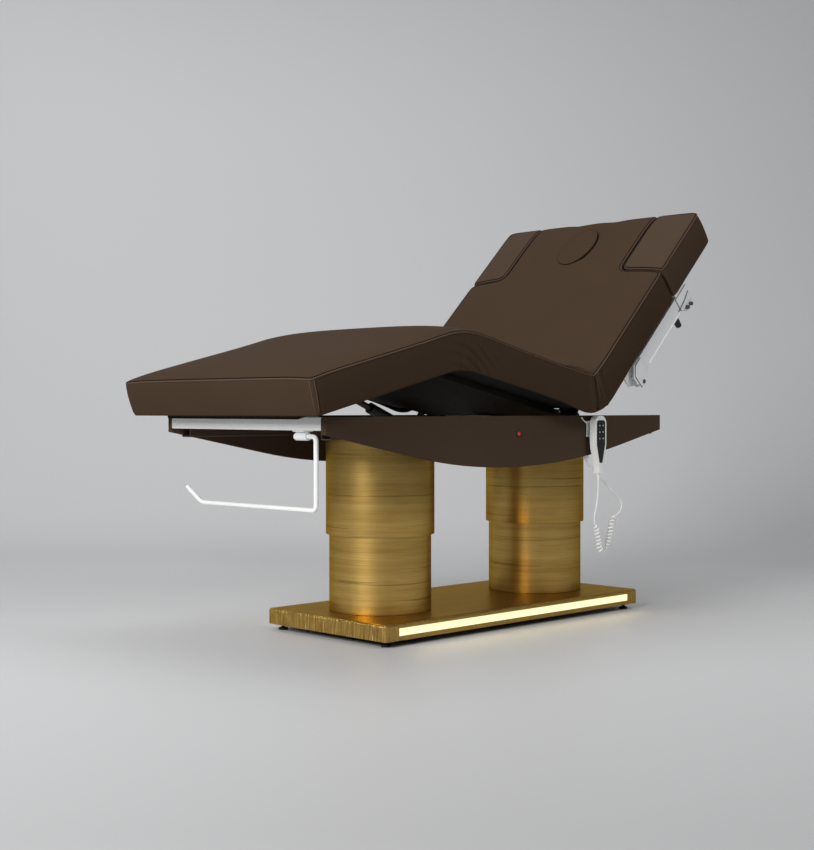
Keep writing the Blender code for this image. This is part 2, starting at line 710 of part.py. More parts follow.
def panel_bottom():
    """The panel's lower edge from the head end to the foot end: two arcs that meet at the belly, and their tangents."""
    belly = PANEL_TOP - PANEL_BELLY_DEPTH
    head_z = PANEL_TOP - PANEL_HEAD_DEPTH
    foot_z = PANEL_TOP - PANEL_FOOT_DEPTH
    head_centre = belly + PANEL_HEAD_RADIUS
    foot_centre = belly + PANEL_FOOT_RADIUS
    head_angle = tangent(PANEL_HEAD_X, head_z, PANEL_BELLY_X, head_centre, PANEL_HEAD_RADIUS, 1)
    foot_angle = tangent(PANEL_FOOT_X, foot_z, PANEL_BELLY_X, foot_centre, PANEL_FOOT_RADIUS, 1)
    down = -math.pi / 2
    head_arc = arc(PANEL_BELLY_X, head_centre, PANEL_HEAD_RADIUS, down + head_angle, down, ARC_STEPS)
    foot_arc = arc(PANEL_BELLY_X, foot_centre, PANEL_FOOT_RADIUS, down, down - foot_angle, ARC_STEPS)
    return [(PANEL_HEAD_X, head_z), *head_arc, *foot_arc[1:], (PANEL_FOOT_X, foot_z)]


def panel_bottom_at(x):
    """Height and slope angle of the panel's lower edge on the head side of the belly."""
    centre = PANEL_TOP - PANEL_BELLY_DEPTH + PANEL_HEAD_RADIUS
    angle = math.asin((x - PANEL_BELLY_X) / PANEL_HEAD_RADIUS)
    return centre - PANEL_HEAD_RADIUS * math.cos(angle), angle


def lug_loop(x, z, radius):
    """A lug that stands on the rail and rounds over a pivot, with the pivot's hole."""
    foot = RAIL_TOP - RAIL_WALL / 2
    outline = [(x - LUG_FOOT, foot), (x + LUG_FOOT, foot), *arc(x, z, radius, 0, math.pi)]
    return outline, circle(x, z, HINGE_PIN + RUN)


def rail(name, side):
    """A square tube along the frame, with the lugs of the two hinge lines and of the motor on its side."""
    start = PANEL_FOOT_X + FOOT_BAR_DEPTH + FIT
    inner, outer = sorted((side * RAIL_INNER, side * RAIL_OUTER))
    bore = RAIL_CORNER - RAIL_WALL
    loops = (
        rounded(inner, RAIL_BOTTOM, outer, RAIL_TOP, RAIL_CORNER),
        rounded(inner + RAIL_WALL, RAIL_BOTTOM + RAIL_WALL, outer - RAIL_WALL, RAIL_TOP - RAIL_WALL, bore, 1),
    )
    made = plate(LIFT, "x", loops, start, RAIL_HEAD_X)
    lug_ys = (LUG_Y - LUG / 2, LUG_Y + LUG / 2)
    for pivot, radius in ((SEAT_PIVOT, SEAT_LUG), (BACK_PIVOT, BACK_LUG)):
        join(made, side_plate(LIFT, side, lug_loop(pivot.x, pivot.z, radius), lug_ys))
    x, z = MOTOR_PIVOTS[name]
    lug_face = RAIL_INNER - MOTOR_LUG_DEPTH
    lug = side_box(
        LIFT, side, (x - MOTOR_LUG, x + MOTOR_LUG), (lug_face, RAIL_INNER + RAIL_WALL / 2),
        (z - MOTOR_LUG, RAIL_BOTTOM + RAIL_HEIGHT / 2),
    )
    eye_out = MOTOR_Y + MOTOR_EYE_WIDTH / 2 + FIT
    eye_in = MOTOR_Y - MOTOR_EYE_WIDTH / 2 - FIT
    shoulder = cross_rod(LIFT, x, z, (side * eye_out, side * (lug_face + OVERRUN)), MOTOR_PIN_HEAD)
    pin = cross_rod(LIFT, x, z, (side * (eye_in - MOTOR_PIN_HEAD_WIDTH / 2), side * lug_face), MOTOR_PIN)
    head = cross_rod(LIFT, x, z, (side * (eye_in - MOTOR_PIN_HEAD_WIDTH), side * eye_in), MOTOR_PIN_HEAD)
    keep(join(made, lug, shoulder, pin, head), "frame_rail_" + name, DARK_STEEL)


def frame():
    """The lifting frame: rails, cross members on the columns, the foot bar, the side panels and the hinge rods."""
    for name, side in SIDES.items():
        rail(name, side)
        outline = [(PANEL_FOOT_X, PANEL_TOP), (PANEL_HEAD_X, PANEL_TOP), *panel_bottom()]
        panel = bevel(side_plate(LIFT, side, [outline], (PANEL_INNER, PANEL_OUTER)), PANEL_EDGE, 1)
        if name == "left":
            hole_ys = (side * (PANEL_INNER - OVERRUN), side * (PANEL_OUTER + OVERRUN))
            cut(panel, cross_rod(LIFT, BUTTON_X, BUTTON_Z, hole_ys, BEZEL_SHANK + FIT, ROUND_STEPS // 2))
        keep(panel, "side_panel_" + name, PANEL_LEATHER)

    half = RAIL_INNER - FIT
    for end, x in COLUMN_XS.items():
        low, high = x - CROSS_LENGTH / 2, x + CROSS_LENGTH / 2
        ceiling = RAIL_TOP - CROSS_SHEET
        channel = [
            (low, RAIL_BOTTOM), (low + CROSS_SHEET, RAIL_BOTTOM), (low + CROSS_SHEET, ceiling),
            (high - CROSS_SHEET, ceiling), (high - CROSS_SHEET, RAIL_BOTTOM), (high, RAIL_BOTTOM),
            (high, RAIL_TOP), (low, RAIL_TOP),
        ]
        keep(plate(LIFT, "y", [channel], -half, half), "cross_member_" + end, DARK_STEEL)

    low, high = PANEL_FOOT_X, PANEL_FOOT_X + FOOT_BAR_DEPTH
    bottom = PANEL_TOP - FOOT_BAR_HEIGHT
    wall = FOOT_BAR_WALL
    loops = (
        rounded(low, bottom, high, PANEL_TOP, FOOT_BAR_CORNER),
        rounded(low + wall, bottom + wall, high - wall, PANEL_TOP - wall, FOOT_BAR_CORNER - wall, 1),
    )
    keep(plate(LIFT, "y", loops, -RAIL_OUTER, RAIL_OUTER), "foot_bar", WHITE_PAINT)

    reach = LUG_Y + LUG / 2 + OVERRUN
    keep(cross_rod(LIFT, SEAT_PIVOT.x, SEAT_PIVOT.z, (-reach, reach), HINGE_PIN), "seat_pivot_rod", STEEL)
    keep(cross_rod(LIFT, BACK_PIVOT.x, BACK_PIVOT.z, (-reach, reach), HINGE_PIN), "back_pivot_rod", STEEL)

    front = COLUMN_XS["head"] - CROSS_LENGTH / 2 - FIT
    low_corner = (front - CONTROL_LENGTH, -CONTROL_WIDTH / 2, RAIL_BOTTOM)
    control = box(LIFT, low_corner, (front, CONTROL_WIDTH / 2, RAIL_BOTTOM + CONTROL_HEIGHT))
    keep(bevel(control, CONTROL_EDGE), "control_box", BLACK_PLASTIC)


def stop_button():
    """A bezel pushed through the left panel, and the button that sinks into it."""
    face = -PANEL_OUTER
    floor = face + BEZEL_SHANK_LENGTH
    flange = cross_rod(LIFT, BUTTON_X, BUTTON_Z, (face - BEZEL_RISE, face - FIT), BEZEL_RADIUS, ROUND_STEPS // 2)
    shank = cross_rod(LIFT, BUTTON_X, BUTTON_Z, (face - BEZEL_RISE / 2, floor), BEZEL_SHANK, ROUND_STEPS // 2)
    well = face - BEZEL_RISE + BUTTON_LENGTH + BUTTON_TRAVEL - BUTTON_RISE + FIT
    bore = cross_rod(
        LIFT, BUTTON_X, BUTTON_Z, (face - BEZEL_RISE - OVERRUN, well), BUTTON_RADIUS + RUN, ROUND_STEPS // 2
    )
    keep(cut(join(flange, shank), bore), "stop_button_bezel", BLACK_PLASTIC)
    front = face - BEZEL_RISE - BUTTON_RISE
    press = axis("stop_button_axis", LIFT, (BUTTON_X, front, BUTTON_Z), own_frame=False)
    button = cross_rod(press, BUTTON_X, BUTTON_Z, (front, front + BUTTON_LENGTH), BUTTON_RADIUS)
    keep(bevel(button, BUTTON_RISE / 3), "stop_button", RED_PLASTIC)


def round_bar(parent, route, radius, bend, resolution=3):
    """A bar bent round arcs at the inner points of a route."""
    points = [Vector(route[0])]
    for before, corner, after in zip(route, route[1:], route[2:]):
        corner = Vector(corner)
        come = (Vector(before) - corner).normalized()
        leave = (Vector(after) - corner).normalized()
        for i in range(ARC_STEPS // 2 + 1):
            share = i / (ARC_STEPS // 2)
            points.append(corner + come * bend * (1 - share) ** 2 + leave * bend * share**2)
    points.append(Vector(route[-1]))
    data = bpy.data.curves.new("shape", "CURVE")
    data.dimensions = "3D"
    data.bevel_depth = radius
    data.bevel_resolution = resolution
    data.use_fill_caps = True
    spline = data.splines.new("POLY")
    spline.points.add(len(points) - 1)
    for point, place in zip(spline.points, points):
        point.co = (*place, 1)
    return welded(shape(data, parent))


def paper_holder():
    """The clamp under the foot bar and the bent rod for a paper roll, which swings in it."""
    x = FOOT_BAR_X
    ceiling = PANEL_TOP - FOOT_BAR_HEIGHT - FIT
    z = ceiling + FIT - PAPER_STUB_DROP
    clamp_ys = (PAPER_STUB_Y - PAPER_COLLAR_WIDTH - FIT - CLAMP_LENGTH, PAPER_STUB_Y - PAPER_COLLAR_WIDTH - FIT)
    clamp = cross_rod(LIFT, x, z, clamp_ys, CLAMP_RADIUS, ROUND_STEPS // 2)
    web = box(LIFT, (x - CLAMP_WEB / 2, clamp_ys[0], z), (x + CLAMP_WEB / 2, clamp_ys[1], ceiling - CLAMP_PLATE / 2))
    half = CLAMP_PLATE_DEPTH / 2
    flange = box(LIFT, (x - half, clamp_ys[0], ceiling - CLAMP_PLATE), (x + half, clamp_ys[1], ceiling))
    bore = cross_rod(LIFT, x, z, (clamp_ys[0] - OVERRUN, clamp_ys[1] + OVERRUN), PAPER_ROD + RUN, ROUND_STEPS // 2)
    keep(cut(join(clamp, web, flange), bore), "roll_clamp", WHITE_PAINT)

    swing = axis("paper_rod_axis", LIFT, (x, PAPER_STUB_Y, z), own_frame=False)
    low = z - PAPER_DROP
    route = (
        (x, PAPER_STUB_Y, z), (x, PAPER_SIDE_Y, z), (x, PAPER_SIDE_Y, low), (x, PAPER_FAR_Y, low),
        (x, PAPER_TIP_Y, low + PAPER_TIP_RISE),
    )
    bar = round_bar(swing, route, PAPER_ROD, PAPER_BEND)
    collar = cross_rod(swing, x, z, (PAPER_STUB_Y - PAPER_COLLAR_WIDTH, PAPER_STUB_Y - PAPER_ROD / 4), PAPER_COLLAR)
    keep(join(bar, collar), "paper_rod", WHITE_PAINT)


def crown_height(share):
    """Height share of the crown at a share of the way from the middle to the seam: full, then steep at the edge."""
    return (1 - min(abs(share), 1) ** 2.6) ** 0.55


CROWN_SHARES = (0.995, 0.97, 0.92, 0.83, 0.68, 0.45)
ROUND_SHARES = (0, 0.1, 0.3, 0.6, 1)
FADE_SHARES = (0.25, 0.45, 0.7, 1)
EASE_SHARES = (0.25, 0.5, 0.75, 1)


def section(half, low, crown):
    """(y, height) points round a cushion's cross-section: flat below, drawn-in sides, a seam and a crown."""
    foot = half - SIDE_DRAW
    middle = (low + CUSHION_ROUND + SEAM_HEIGHT) / 2
    right = [
        (foot - CUSHION_ROUND, low),
        *arc(foot - CUSHION_ROUND, low + CUSHION_ROUND, CUSHION_ROUND, -math.pi / 3, 0, 2),
        (half - SIDE_DRAW / 4, middle),
        (half, SEAM_HEIGHT),
        *((half * share, SEAM_HEIGHT + crown * crown_height(share)) for share in CROWN_SHARES),
    ]
    left = [(-y, height) for y, height in reversed(right)]
    return [(0, low), *right, (0, SEAM_HEIGHT + crown), *left]


def end_stations():
    """(distance from a free end, half width, underside, crown) of the rings that round the end off."""
    stations = []
    for share in ROUND_SHARES:
        quarter = share * math.pi / 2
        inset = 1 - math.sin(quarter)
        distance = CUSHION_CORNER * (1 - math.cos(quarter))
        stations.append((distance, HALF_TOP - CUSHION_CORNER * inset, CUSHION_ROUND * inset))
    stations += [(CROWN_LENGTH * share, HALF_TOP, 0) for share in FADE_SHARES]
    return [
        (distance, half, low, CROWN * crown_height(1 - distance / CROWN_LENGTH))
        for distance, half, low in stations
    ]


def cushion_ring(place, half, low, crown):
    return [place(y, height) for y, height in section(half, low, crown)]


def end_rings(end_x, side, level):
    """Rings at a free end; the end face leans inwards towards the bottom, as the sides do."""
    rings = []
    for distance, half, low, crown in end_stations():
        fade = max(0, 1 - distance / CROWN_LENGTH)

        def place(y, height, distance=distance, fade=fade):
            drawn = SIDE_DRAW * fade * (1 - height / SEAM_HEIGHT)
            return end_x - side * (distance + drawn), y, level + height

        rings.append(cushion_ring(place, half, low, crown))
    return rings


def leg_cushion():
    def end_place(y, height):
        return -KNEE_END_GAP, y, PAD_LEVEL + height

    rings = end_rings(-LEG_LENGTH, -1, PAD_LEVEL)
    rings.append(cushion_ring(end_place, HALF_TOP, 0, CROWN))
    keep(loft(LEG, rings), "leg_cushion", LEATHER)


def crease_x(start, side, height, gap=0.0):
    """Where a cushion's leaning end face at the crease lies along its section; a gap moves it into the crease."""
    return start - side * (math.tan(CREASE_LEAN) * height - gap / math.cos(CREASE_LEAN))


def seat_cushion():
    def knee_place(y, height):
        return KNEE_END_GAP - SEAT_LENGTH, y, PAD_LEVEL + height

    def crease_place(y, height):
        return crease_x(SEAT_TAIL, 1, height), y, PAD_LEVEL + height

    rings = [cushion_ring(place, HALF_TOP, 0, CROWN) for place in (knee_place, crease_place)]
    keep(loft(SEAT, rings), "seat_cushion", LEATHER)


def knee_fold():
    """The stretch of cushion over the knee hinge: the cross-section swept about the hinge line."""
    rings = []
    for i in range(KNEE_STEPS + 1):
        turn = -KNEE_BEND * i / KNEE_STEPS

        def place(y, height, turn=turn):
            radius = PAD_LEVEL + height
            return radius * math.sin(turn) - SEAT_LENGTH, y, radius * math.cos(turn)

        rings.append(cushion_ring(place, HALF_TOP, 0, CROWN))
    keep(loft(SEAT, rings), "knee_fold", LEATHER)


def crossing(place, tilt, other_place, other_tilt):
    """Where two lines along tilted sections cross."""
    way = Vector((math.cos(tilt), 0, -math.sin(tilt)))
    other_way = Vector((math.cos(other_tilt), 0, -math.sin(other_tilt)))
    gap = other_place - place
    spread = way.x * other_way.z - way.z * other_way.x
    return place + way * (gap.x * other_way.z - gap.z * other_way.x) / spread


def crease_fold():
    """The wedge of cushion between the seat and the back, with its valley lower than the two faces."""
    underside = along(SEAT_PIVOT, SEAT_TILT, 0, PAD_LEVEL)
    other_underside = along(BACK_PIVOT, -BACK_TILT, 0, BACK_PIVOT_DEPTH)
    bottom = crossing(underside, SEAT_TILT, other_underside, -BACK_TILT)
    half_bend = (SEAT_TILT + BACK_TILT) / 2
    lean = (SEAT_TILT - BACK_TILT) / 2

    def seat_place(y, height):
        point = along(SEAT_PIVOT, SEAT_TILT, crease_x(SEAT_TAIL, 1, height, FOLD_GAP), PAD_LEVEL + height)
        return point.x, y, point.z

    def back_place(y, height):
        point = along(BACK_PIVOT, -BACK_TILT, crease_x(BACK_START, -1, height, FOLD_GAP), BACK_PIVOT_DEPTH + height)
        return point.x, y, point.z

    def valley_place(y, height):
        height = min(height, SEAM_HEIGHT) + max(height - SEAM_HEIGHT, 0) * CREASE_CROWN_SHARE
        point = along(bottom, lean, 0, height / math.cos(half_bend))
        return point.x, y, point.z

    rings = [cushion_ring(place, HALF_TOP, 0, CROWN) for place in (seat_place, valley_place, back_place)]
    keep(loft(LIFT, rings), "crease_fold", LEATHER)


def back_form(parent):
    """The whole back cushion at full width, before the arm pads' corners are taken out."""

    def crease_place(y, height):
        return crease_x(BACK_START, -1, height), y, BACK_PIVOT_DEPTH + height

    rings = [cushion_ring(crease_place, HALF_TOP, 0, CROWN)]
    rings += reversed(end_rings(BACK_LENGTH, 1, BACK_PIVOT_DEPTH))
    return loft(parent, rings)


def ears(parent, side, x, z, foot, foot_z):
    """Two ears under a board and the pin between them, which holds a motor rod's eye."""
    inner = MOTOR_Y - ROD_EYE_WIDTH / 2 - EAR_GAP
    outer = MOTOR_Y + ROD_EYE_WIDTH / 2 + EAR_GAP
    outline = [(foot[0], foot_z), *arc(x, z, EAR_ROUND, math.pi, math.tau), (foot[1], foot_z)]
    ear_ys = ((inner - EAR_WIDTH, inner), (outer, outer + EAR_WIDTH))
    shapes = [side_plate(parent, side, [outline], ys) for ys in ear_ys]
    half_ear = EAR_WIDTH / 2
    shapes.append(cross_rod(parent, x, z, (side * (inner - half_ear), side * (outer + half_ear)), HINGE_PIN))
    return shapes


def boards():
    """The three boards with their hinge knuckles, barrels and motor ears."""
    half = BOARD_WIDTH / 2
    start = BOARD_END_GAP - SEAT_LENGTH
    seat = box(SEAT, (start, -half, -HALF_BOARD), (SEAT_BOARD_TAIL, half, HALF_BOARD))
    bevel(seat, BOARD_EDGE, 1)
    knuckle_start = KNEE_BARREL_LENGTH / 2 + KNUCKLE_GAP
    knuckle_ys = (knuckle_start, knuckle_start + KNUCKLE_LENGTH)
    for side in SIDES.values():
        leaf = side_box(SEAT, side, (-SEAT_LENGTH, start + HINGE_LEAF), knuckle_ys, (-HALF_BOARD + FIT, 0))
        knuckle = cross_rod(SEAT, -SEAT_LENGTH, 0, [side * y for y in knuckle_ys], HINGE_BARREL)
        join(seat, leaf, knuckle)
    foot = (SEAT_EAR_X - SEAT_EAR_FOOT, SEAT_EAR_X + SEAT_EAR_FOOT)
    join(seat, *ears(SEAT, 1, SEAT_EAR_X, -SEAT_EAR_DEPTH, foot, -HALF_BOARD + BOARD_EDGE))
    wide = half + OVERRUN
    cut(seat, cross_rod(SEAT, 0, 0, (-wide, wide), HINGE_PIN + RUN))
    cut(seat, cross_rod(SEAT, -SEAT_LENGTH, 0, (-wide, wide), HINGE_PIN + RUN))
    keep(seat, "seat_board", BLACK_WOOD)

    leg_end = -BOARD_END_GAP - LEG_BOARD_LENGTH
    leg = box(LEG, (leg_end, -half, -HALF_BOARD), (-BOARD_END_GAP, half, HALF_BOARD))
    bevel(leg, BOARD_EDGE, 1)
    barrel_half = KNEE_BARREL_LENGTH / 2
    leaf = box(
        LEG, (-BOARD_END_GAP - HINGE_LEAF, -barrel_half, -HALF_BOARD + FIT), (0, barrel_half, 0)
    )
    barrel = cross_rod(LEG, 0, 0, (-barrel_half, barrel_half), HINGE_BARREL)
    pin = cross_rod(LEG, 0, 0, (-knuckle_ys[1], knuckle_ys[1]), HINGE_PIN)
    keep(join(leg, leaf, barrel, pin), "leg_board", BLACK_WOOD)

    wide, narrow = BACK_BOARD_WIDTH / 2, BACK_BOARD_NECK_WIDTH / 2
    end = BACK_BOARD_START + BACK_BOARD_LENGTH
    taper = BACK_BOARD_NECK + BACK_BOARD_TAPER
    outline = [
        (BACK_BOARD_START, -wide), (BACK_BOARD_NECK, -wide), (taper, -narrow), (end, -narrow),
        (end, narrow), (taper, narrow), (BACK_BOARD_NECK, wide), (BACK_BOARD_START, wide),
    ]
    face = oval(FACE_X, 0, FACE_LENGTH + 2 * FACE_BOARD_MARGIN, FACE_WIDTH + 2 * FACE_BOARD_MARGIN)
    back = plate(BACK, "z", [outline, face], BACK_UNDERSIDE - BOARD, BACK_UNDERSIDE)
    bevel(back, BOARD_EDGE, 1)
    arm_ys = (RAIL_INNER - FIT - BACK_ARM, RAIL_INNER - FIT)
    arm_top = BACK_UNDERSIDE - HALF_BOARD
    arm_low = BACK_UNDERSIDE - BOARD - HINGE_BARREL
    for side in SIDES.values():
        arm = [
            (BACK_BOARD_START + BOARD_EDGE, arm_top), *arc(0, 0, BACK_BARREL, math.pi / 3, math.pi * 3 / 2),
            (BACK_ARM_LENGTH, arm_low), (BACK_ARM_LENGTH, arm_top),
        ]
        join(back, side_plate(BACK, side, [arm], arm_ys))
    foot = (BACK_EAR_FOOT, BACK_EAR_FOOT + BACK_EAR_FOOT_LENGTH)
    join(back, *ears(BACK, -1, 0, -BACK_LEVER, foot, arm_top))
    cut(back, cross_rod(BACK, 0, 0, (-wide, wide), HINGE_PIN + RUN))
    keep(back, "back_board", BLACK_WOOD)


PLUG_SHARES = ((0.4, 1), (0.8, 0.92), (1, 0.7))  # the lip's rise, and its spread there


def head_end():
    """The back cushion with its arm-pad corners and face hole, and the oval plug in the hole."""
    cushion = back_form(BACK)
    notch_x = PAD_START - PAD_GAP
    inner = HALF_TOP - PAD_WIDTH - PAD_GAP
    ceiling = BACK_PIVOT_DEPTH + SEAM_HEIGHT + CROWN + OVERRUN
    floor = BACK_PIVOT_DEPTH - OVERRUN
    beyond = (BACK_LENGTH + OVERRUN, HALF_TOP + OVERRUN)
    for side in SIDES.values():
        cut(cushion, side_box(BACK, side, (notch_x, beyond[0]), (inner, beyond[1]), (floor, ceiling)))
    hole = plate(BACK, "z", [oval(FACE_X, 0, FACE_LENGTH, FACE_WIDTH)], floor, ceiling)
    keep(cut(cushion, hole), "back_cushion", LEATHER)

    top = BACK_PIVOT_DEPTH + SEAM_HEIGHT + CROWN + FIT
    lift = axis("face_plug_axis", BACK, (FACE_X, 0, top), own_frame=False)
    length, width = FACE_LENGTH - 2 * PLUG_PLAY, FACE_WIDTH - 2 * PLUG_PLAY
    lip_length, lip_width = FACE_LENGTH + 2 * PLUG_LIP, FACE_WIDTH + 2 * PLUG_LIP
    taper = PLUG_LIP / 2
    levels = [
        (top - PLUG_DEPTH, length - taper, width - taper), (top - PLUG_DEPTH + taper, length, width),
        (top, length, width), (top, lip_length - taper, lip_width - taper),
    ]
    for rise, spread in PLUG_SHARES:
        levels.append((top + PLUG_LIP_RISE * rise, lip_length * spread, lip_width * spread))
    rings = [[(u, v, z) for u, v in oval(FACE_X, 0, *spreads)] for z, *spreads in levels]
    keep(loft(lift, rings), "face_plug", LEATHER)


def arm(name, side):
    """One arm rest: the quadrant under the back board, the lever with its pad, and the release knob."""
    top = BACK_PIVOT_DEPTH - ARM_DROP
    bottom = top - ARM_DEPTH
    pivot = (ARM_PIVOT_X, BACK_PIVOT_DEPTH - ARM_PIVOT_DEPTH)
    board_low = BACK_UNDERSIDE - BOARD - FIT
    half_sheet = ARM_SHEET / 2

    low_round = arc(*pivot, QUADRANT_ROUND, math.pi, 2 * math.pi)
    outline = [
        (pivot[0] + QUADRANT_REACH, board_low - half_sheet), (pivot[0] - QUADRANT_REACH, board_low - half_sheet),
        (pivot[0] - QUADRANT_REACH, pivot[1] + QUADRANT_ROUND), *low_round,
        (pivot[0] + QUADRANT_REACH, pivot[1] + QUADRANT_ROUND),
    ]
    outer_arc = arc(*pivot, QUADRANT_SLOT_RADIUS + QUADRANT_SLOT / 2, QUADRANT_SLOT_LOW, QUADRANT_SLOT_HIGH)
    inner_arc = arc(*pivot, QUADRANT_SLOT_RADIUS - QUADRANT_SLOT / 2, QUADRANT_SLOT_HIGH, QUADRANT_SLOT_LOW)
    loops = [outline, [*outer_arc, *inner_arc], circle(*pivot, ARM_PIN + RUN)]
    quadrant = side_plate(BACK, side, loops, (ARM_Y - half_sheet, ARM_Y + half_sheet))
    flange = side_box(
        BACK, side, (pivot[0] - QUADRANT_REACH, pivot[0] + QUADRANT_REACH),
        (ARM_Y - QUADRANT_FLANGE, ARM_Y + half_sheet), (board_low - ARM_SHEET, board_low),
    )
    keep(join(quadrant, flange), "arm_quadrant_" + name, GREY_PAINT)

    swing = axis("arm_axis_" + name, BACK, (pivot[0], side * ARM_Y, pivot[1]), own_frame=False)
    outer, inner = ARM_Y + ARM_WIDTH / 2, ARM_Y - ARM_WIDTH / 2
    web = [
        (pivot[0], top), (ARM_END, top), (ARM_END, bottom), (ARM_FLANGE_START, bottom),
        *arc(*pivot, ARM_LUG, -math.pi / 3, -math.pi),
        (ARM_START, pivot[1] + ARM_LUG), (ARM_START, top - (ARM_PIVOT_X - ARM_START)),
    ]
    lever = side_plate(swing, side, [web], (outer - ARM_SHEET, outer))
    inner_web = side_plate(swing, side, [web], (inner, inner + ARM_SHEET))
    bottom_flange = side_box(
        swing, side, (ARM_FLANGE_START, ARM_END), (inner + half_sheet, outer - half_sheet), (bottom, bottom + ARM_SHEET)
    )
    plate_top = BACK_PIVOT_DEPTH - FIT
    block_x = ARM_END - ARM_BLOCK_LENGTH
    inside = (inner + half_sheet, outer - half_sheet)
    block_zs = (bottom + half_sheet, plate_top - PAD_PLATE / 2)
    block = side_box(swing, side, (block_x, ARM_END - OVERRUN), inside, block_zs)
    carrier = side_box(
        swing, side, (block_x, block_x + PAD_PLATE_LENGTH),
        (HALF_TOP - PAD_WIDTH + PAD_PLATE_MARGIN, outer), (plate_top - PAD_PLATE, plate_top),
    )
    latch_outline = [
        (ARM_END - LATCH_LENGTH, bottom + half_sheet), (ARM_END - OVERRUN, bottom + half_sheet),
        (ARM_END - OVERRUN, bottom - LATCH_DEPTH), (ARM_END - LATCH_LENGTH / 2, bottom - LATCH_DEPTH),
    ]
    latch = side_plate(swing, side, [latch_outline], (inner + ARM_SHEET, outer - ARM_SHEET))
    pin = cross_rod(swing, *pivot, (side * (inner + half_sheet), side * (outer - half_sheet)), ARM_PIN)
    bolt = cross_rod(swing, *pivot, (side * (outer - half_sheet), side * (outer + ARM_BOLT_RISE)), ARM_BOLT_HEAD)
    guide_x, guide_z = arc(*pivot, QUADRANT_SLOT_RADIUS, GUIDE_ANGLE, GUIDE_ANGLE, 1)[0]
    guide = cross_rod(swing, guide_x, guide_z, (side * (inner + half_sheet), side * (outer - half_sheet)), GUIDE_PIN)
    bolt_ys = (side * (outer - 2 * ARM_SHEET), side * (outer - ARM_SHEET + LATCH_BOLT_RISE))
    bolt_places = ((ARM_END - LATCH_LENGTH / 2, LATCH_DEPTH / 2), (ARM_END - LATCH_LENGTH / 4, LATCH_DEPTH * 2 / 3))
    bolts = [cross_rod(swing, x, bottom - drop, bolt_ys, LATCH_BOLT) for x, drop in bolt_places]
    join(lever, bottom_flange, inner_web, block, carrier, latch, pin, bolt, guide, *bolts)
    knob_spot = (ARM_KNOB_X, side * ARM_KNOB_Y)
    stem_hole = rod(
        swing, (*knob_spot, bottom - OVERRUN), (*knob_spot, bottom + ARM_SHEET + OVERRUN), ARM_KNOB_STEM + RUN
    )
    keep(cut(lever, stem_hole), "arm_channel_" + name, GREY_PAINT)

    seat = bottom - FIT
    pull = axis("arm_knob_axis_" + name, swing, (*knob_spot, seat), own_frame=False)
    grip = rod(pull, (*knob_spot, seat), (*knob_spot, seat - ARM_KNOB_LENGTH), ARM_KNOB_RADIUS, ARM_KNOB_TIP)
    stem = rod(pull, (*knob_spot, seat - OVERRUN), (*knob_spot, seat + ARM_KNOB_STEM_LENGTH), ARM_KNOB_STEM)
    keep(join(bevel(grip, ARM_KNOB_STEM / 2, 1), stem), "arm_knob_" + name, BLACK_PLASTIC)

    pad = back_form(swing)
    floor = BACK_PIVOT_DEPTH - OVERRUN
    ceiling = BACK_PIVOT_DEPTH + SEAM_HEIGHT + CROWN + OVERRUN
    block = side_box(
        swing, side, (PAD_START, BACK_LENGTH + OVERRUN), (HALF_TOP - PAD_WIDTH, HALF_TOP + OVERRUN), (floor, ceiling)
    )
    keep(combine(pad, "INTERSECT", [block]), "arm_pad_" + name, LEATHER)


def motor(name, side, pivot, end):
    """One tilting motor: the body on its fixed pin, and the rod that runs out of it to the board's ears."""
    way = end - pivot
    tilt = math.atan2(-way.z, way.x)
    y = side * MOTOR_Y
    spot = Vector((pivot.x, y, pivot.z))
    swing = axis(name + "_axis", LIFT, spot, tilt)
    slide = axis(name + "_rod_axis", swing, (0, 0, 0))
    half_eye = MOTOR_EYE_WIDTH / 2
    body = rod(swing, (MOTOR_CASE_START, 0, 0), (MOTOR_REACH, 0, 0), MOTOR_TUBE, steps=ROUND_STEPS // 2)
    half_width, half_height = MOTOR_CASE_WIDTH / 2, MOTOR_CASE_HEIGHT / 2
    case_end = MOTOR_CASE_START + MOTOR_CASE_LENGTH
    case = box(swing, (MOTOR_CASE_START, -half_width, -half_height), (case_end, half_width, half_height))
    bevel(case, MOTOR_CASE_EDGE)
    eye = cross_rod(swing, 0, 0, (-half_eye, half_eye), MOTOR_EYE, ROUND_STEPS // 2)
    neck = box(swing, (0, -half_eye, -MOTOR_PIN_HEAD), (MOTOR_CASE_START + OVERRUN, half_eye, MOTOR_PIN_HEAD))
    pin_hole = cross_rod(swing, 0, 0, (-MOTOR_EYE, MOTOR_EYE), MOTOR_PIN + RUN)
    bore = rod(swing, (MOTOR_BORE_START, 0, 0), (MOTOR_REACH + OVERRUN, 0, 0), MOTOR_BORE, steps=ROUND_STEPS // 2)
    keep(cut(join(body, case, eye, neck), pin_hole, bore), name, BLACK_PLASTIC)

    reach = way.length
    half_rod_eye = ROD_EYE_WIDTH / 2
    bar = rod(slide, (ROD_INNER_END, 0, 0), (reach - ROD_TONGUE, 0, 0), MOTOR_ROD)
    half_tongue = ROD_TONGUE_HEIGHT / 2
    tongue = box(
        slide, (reach - ROD_TONGUE - OVERRUN, -half_rod_eye, -half_tongue),
        (reach - ROD_EYE_HOLE - OVERRUN, half_rod_eye, half_tongue),
    )
    rod_eye = cross_rod(slide, reach, 0, (-half_rod_eye, half_rod_eye), ROD_EYE, ROUND_STEPS // 2)
    hole = cross_rod(slide, reach, 0, (-ROD_EYE, ROD_EYE), ROD_EYE_HOLE, ROUND_STEPS // 2)
    keep(cut(join(bar, tongue, rod_eye), hole), name + "_rod", STEEL)


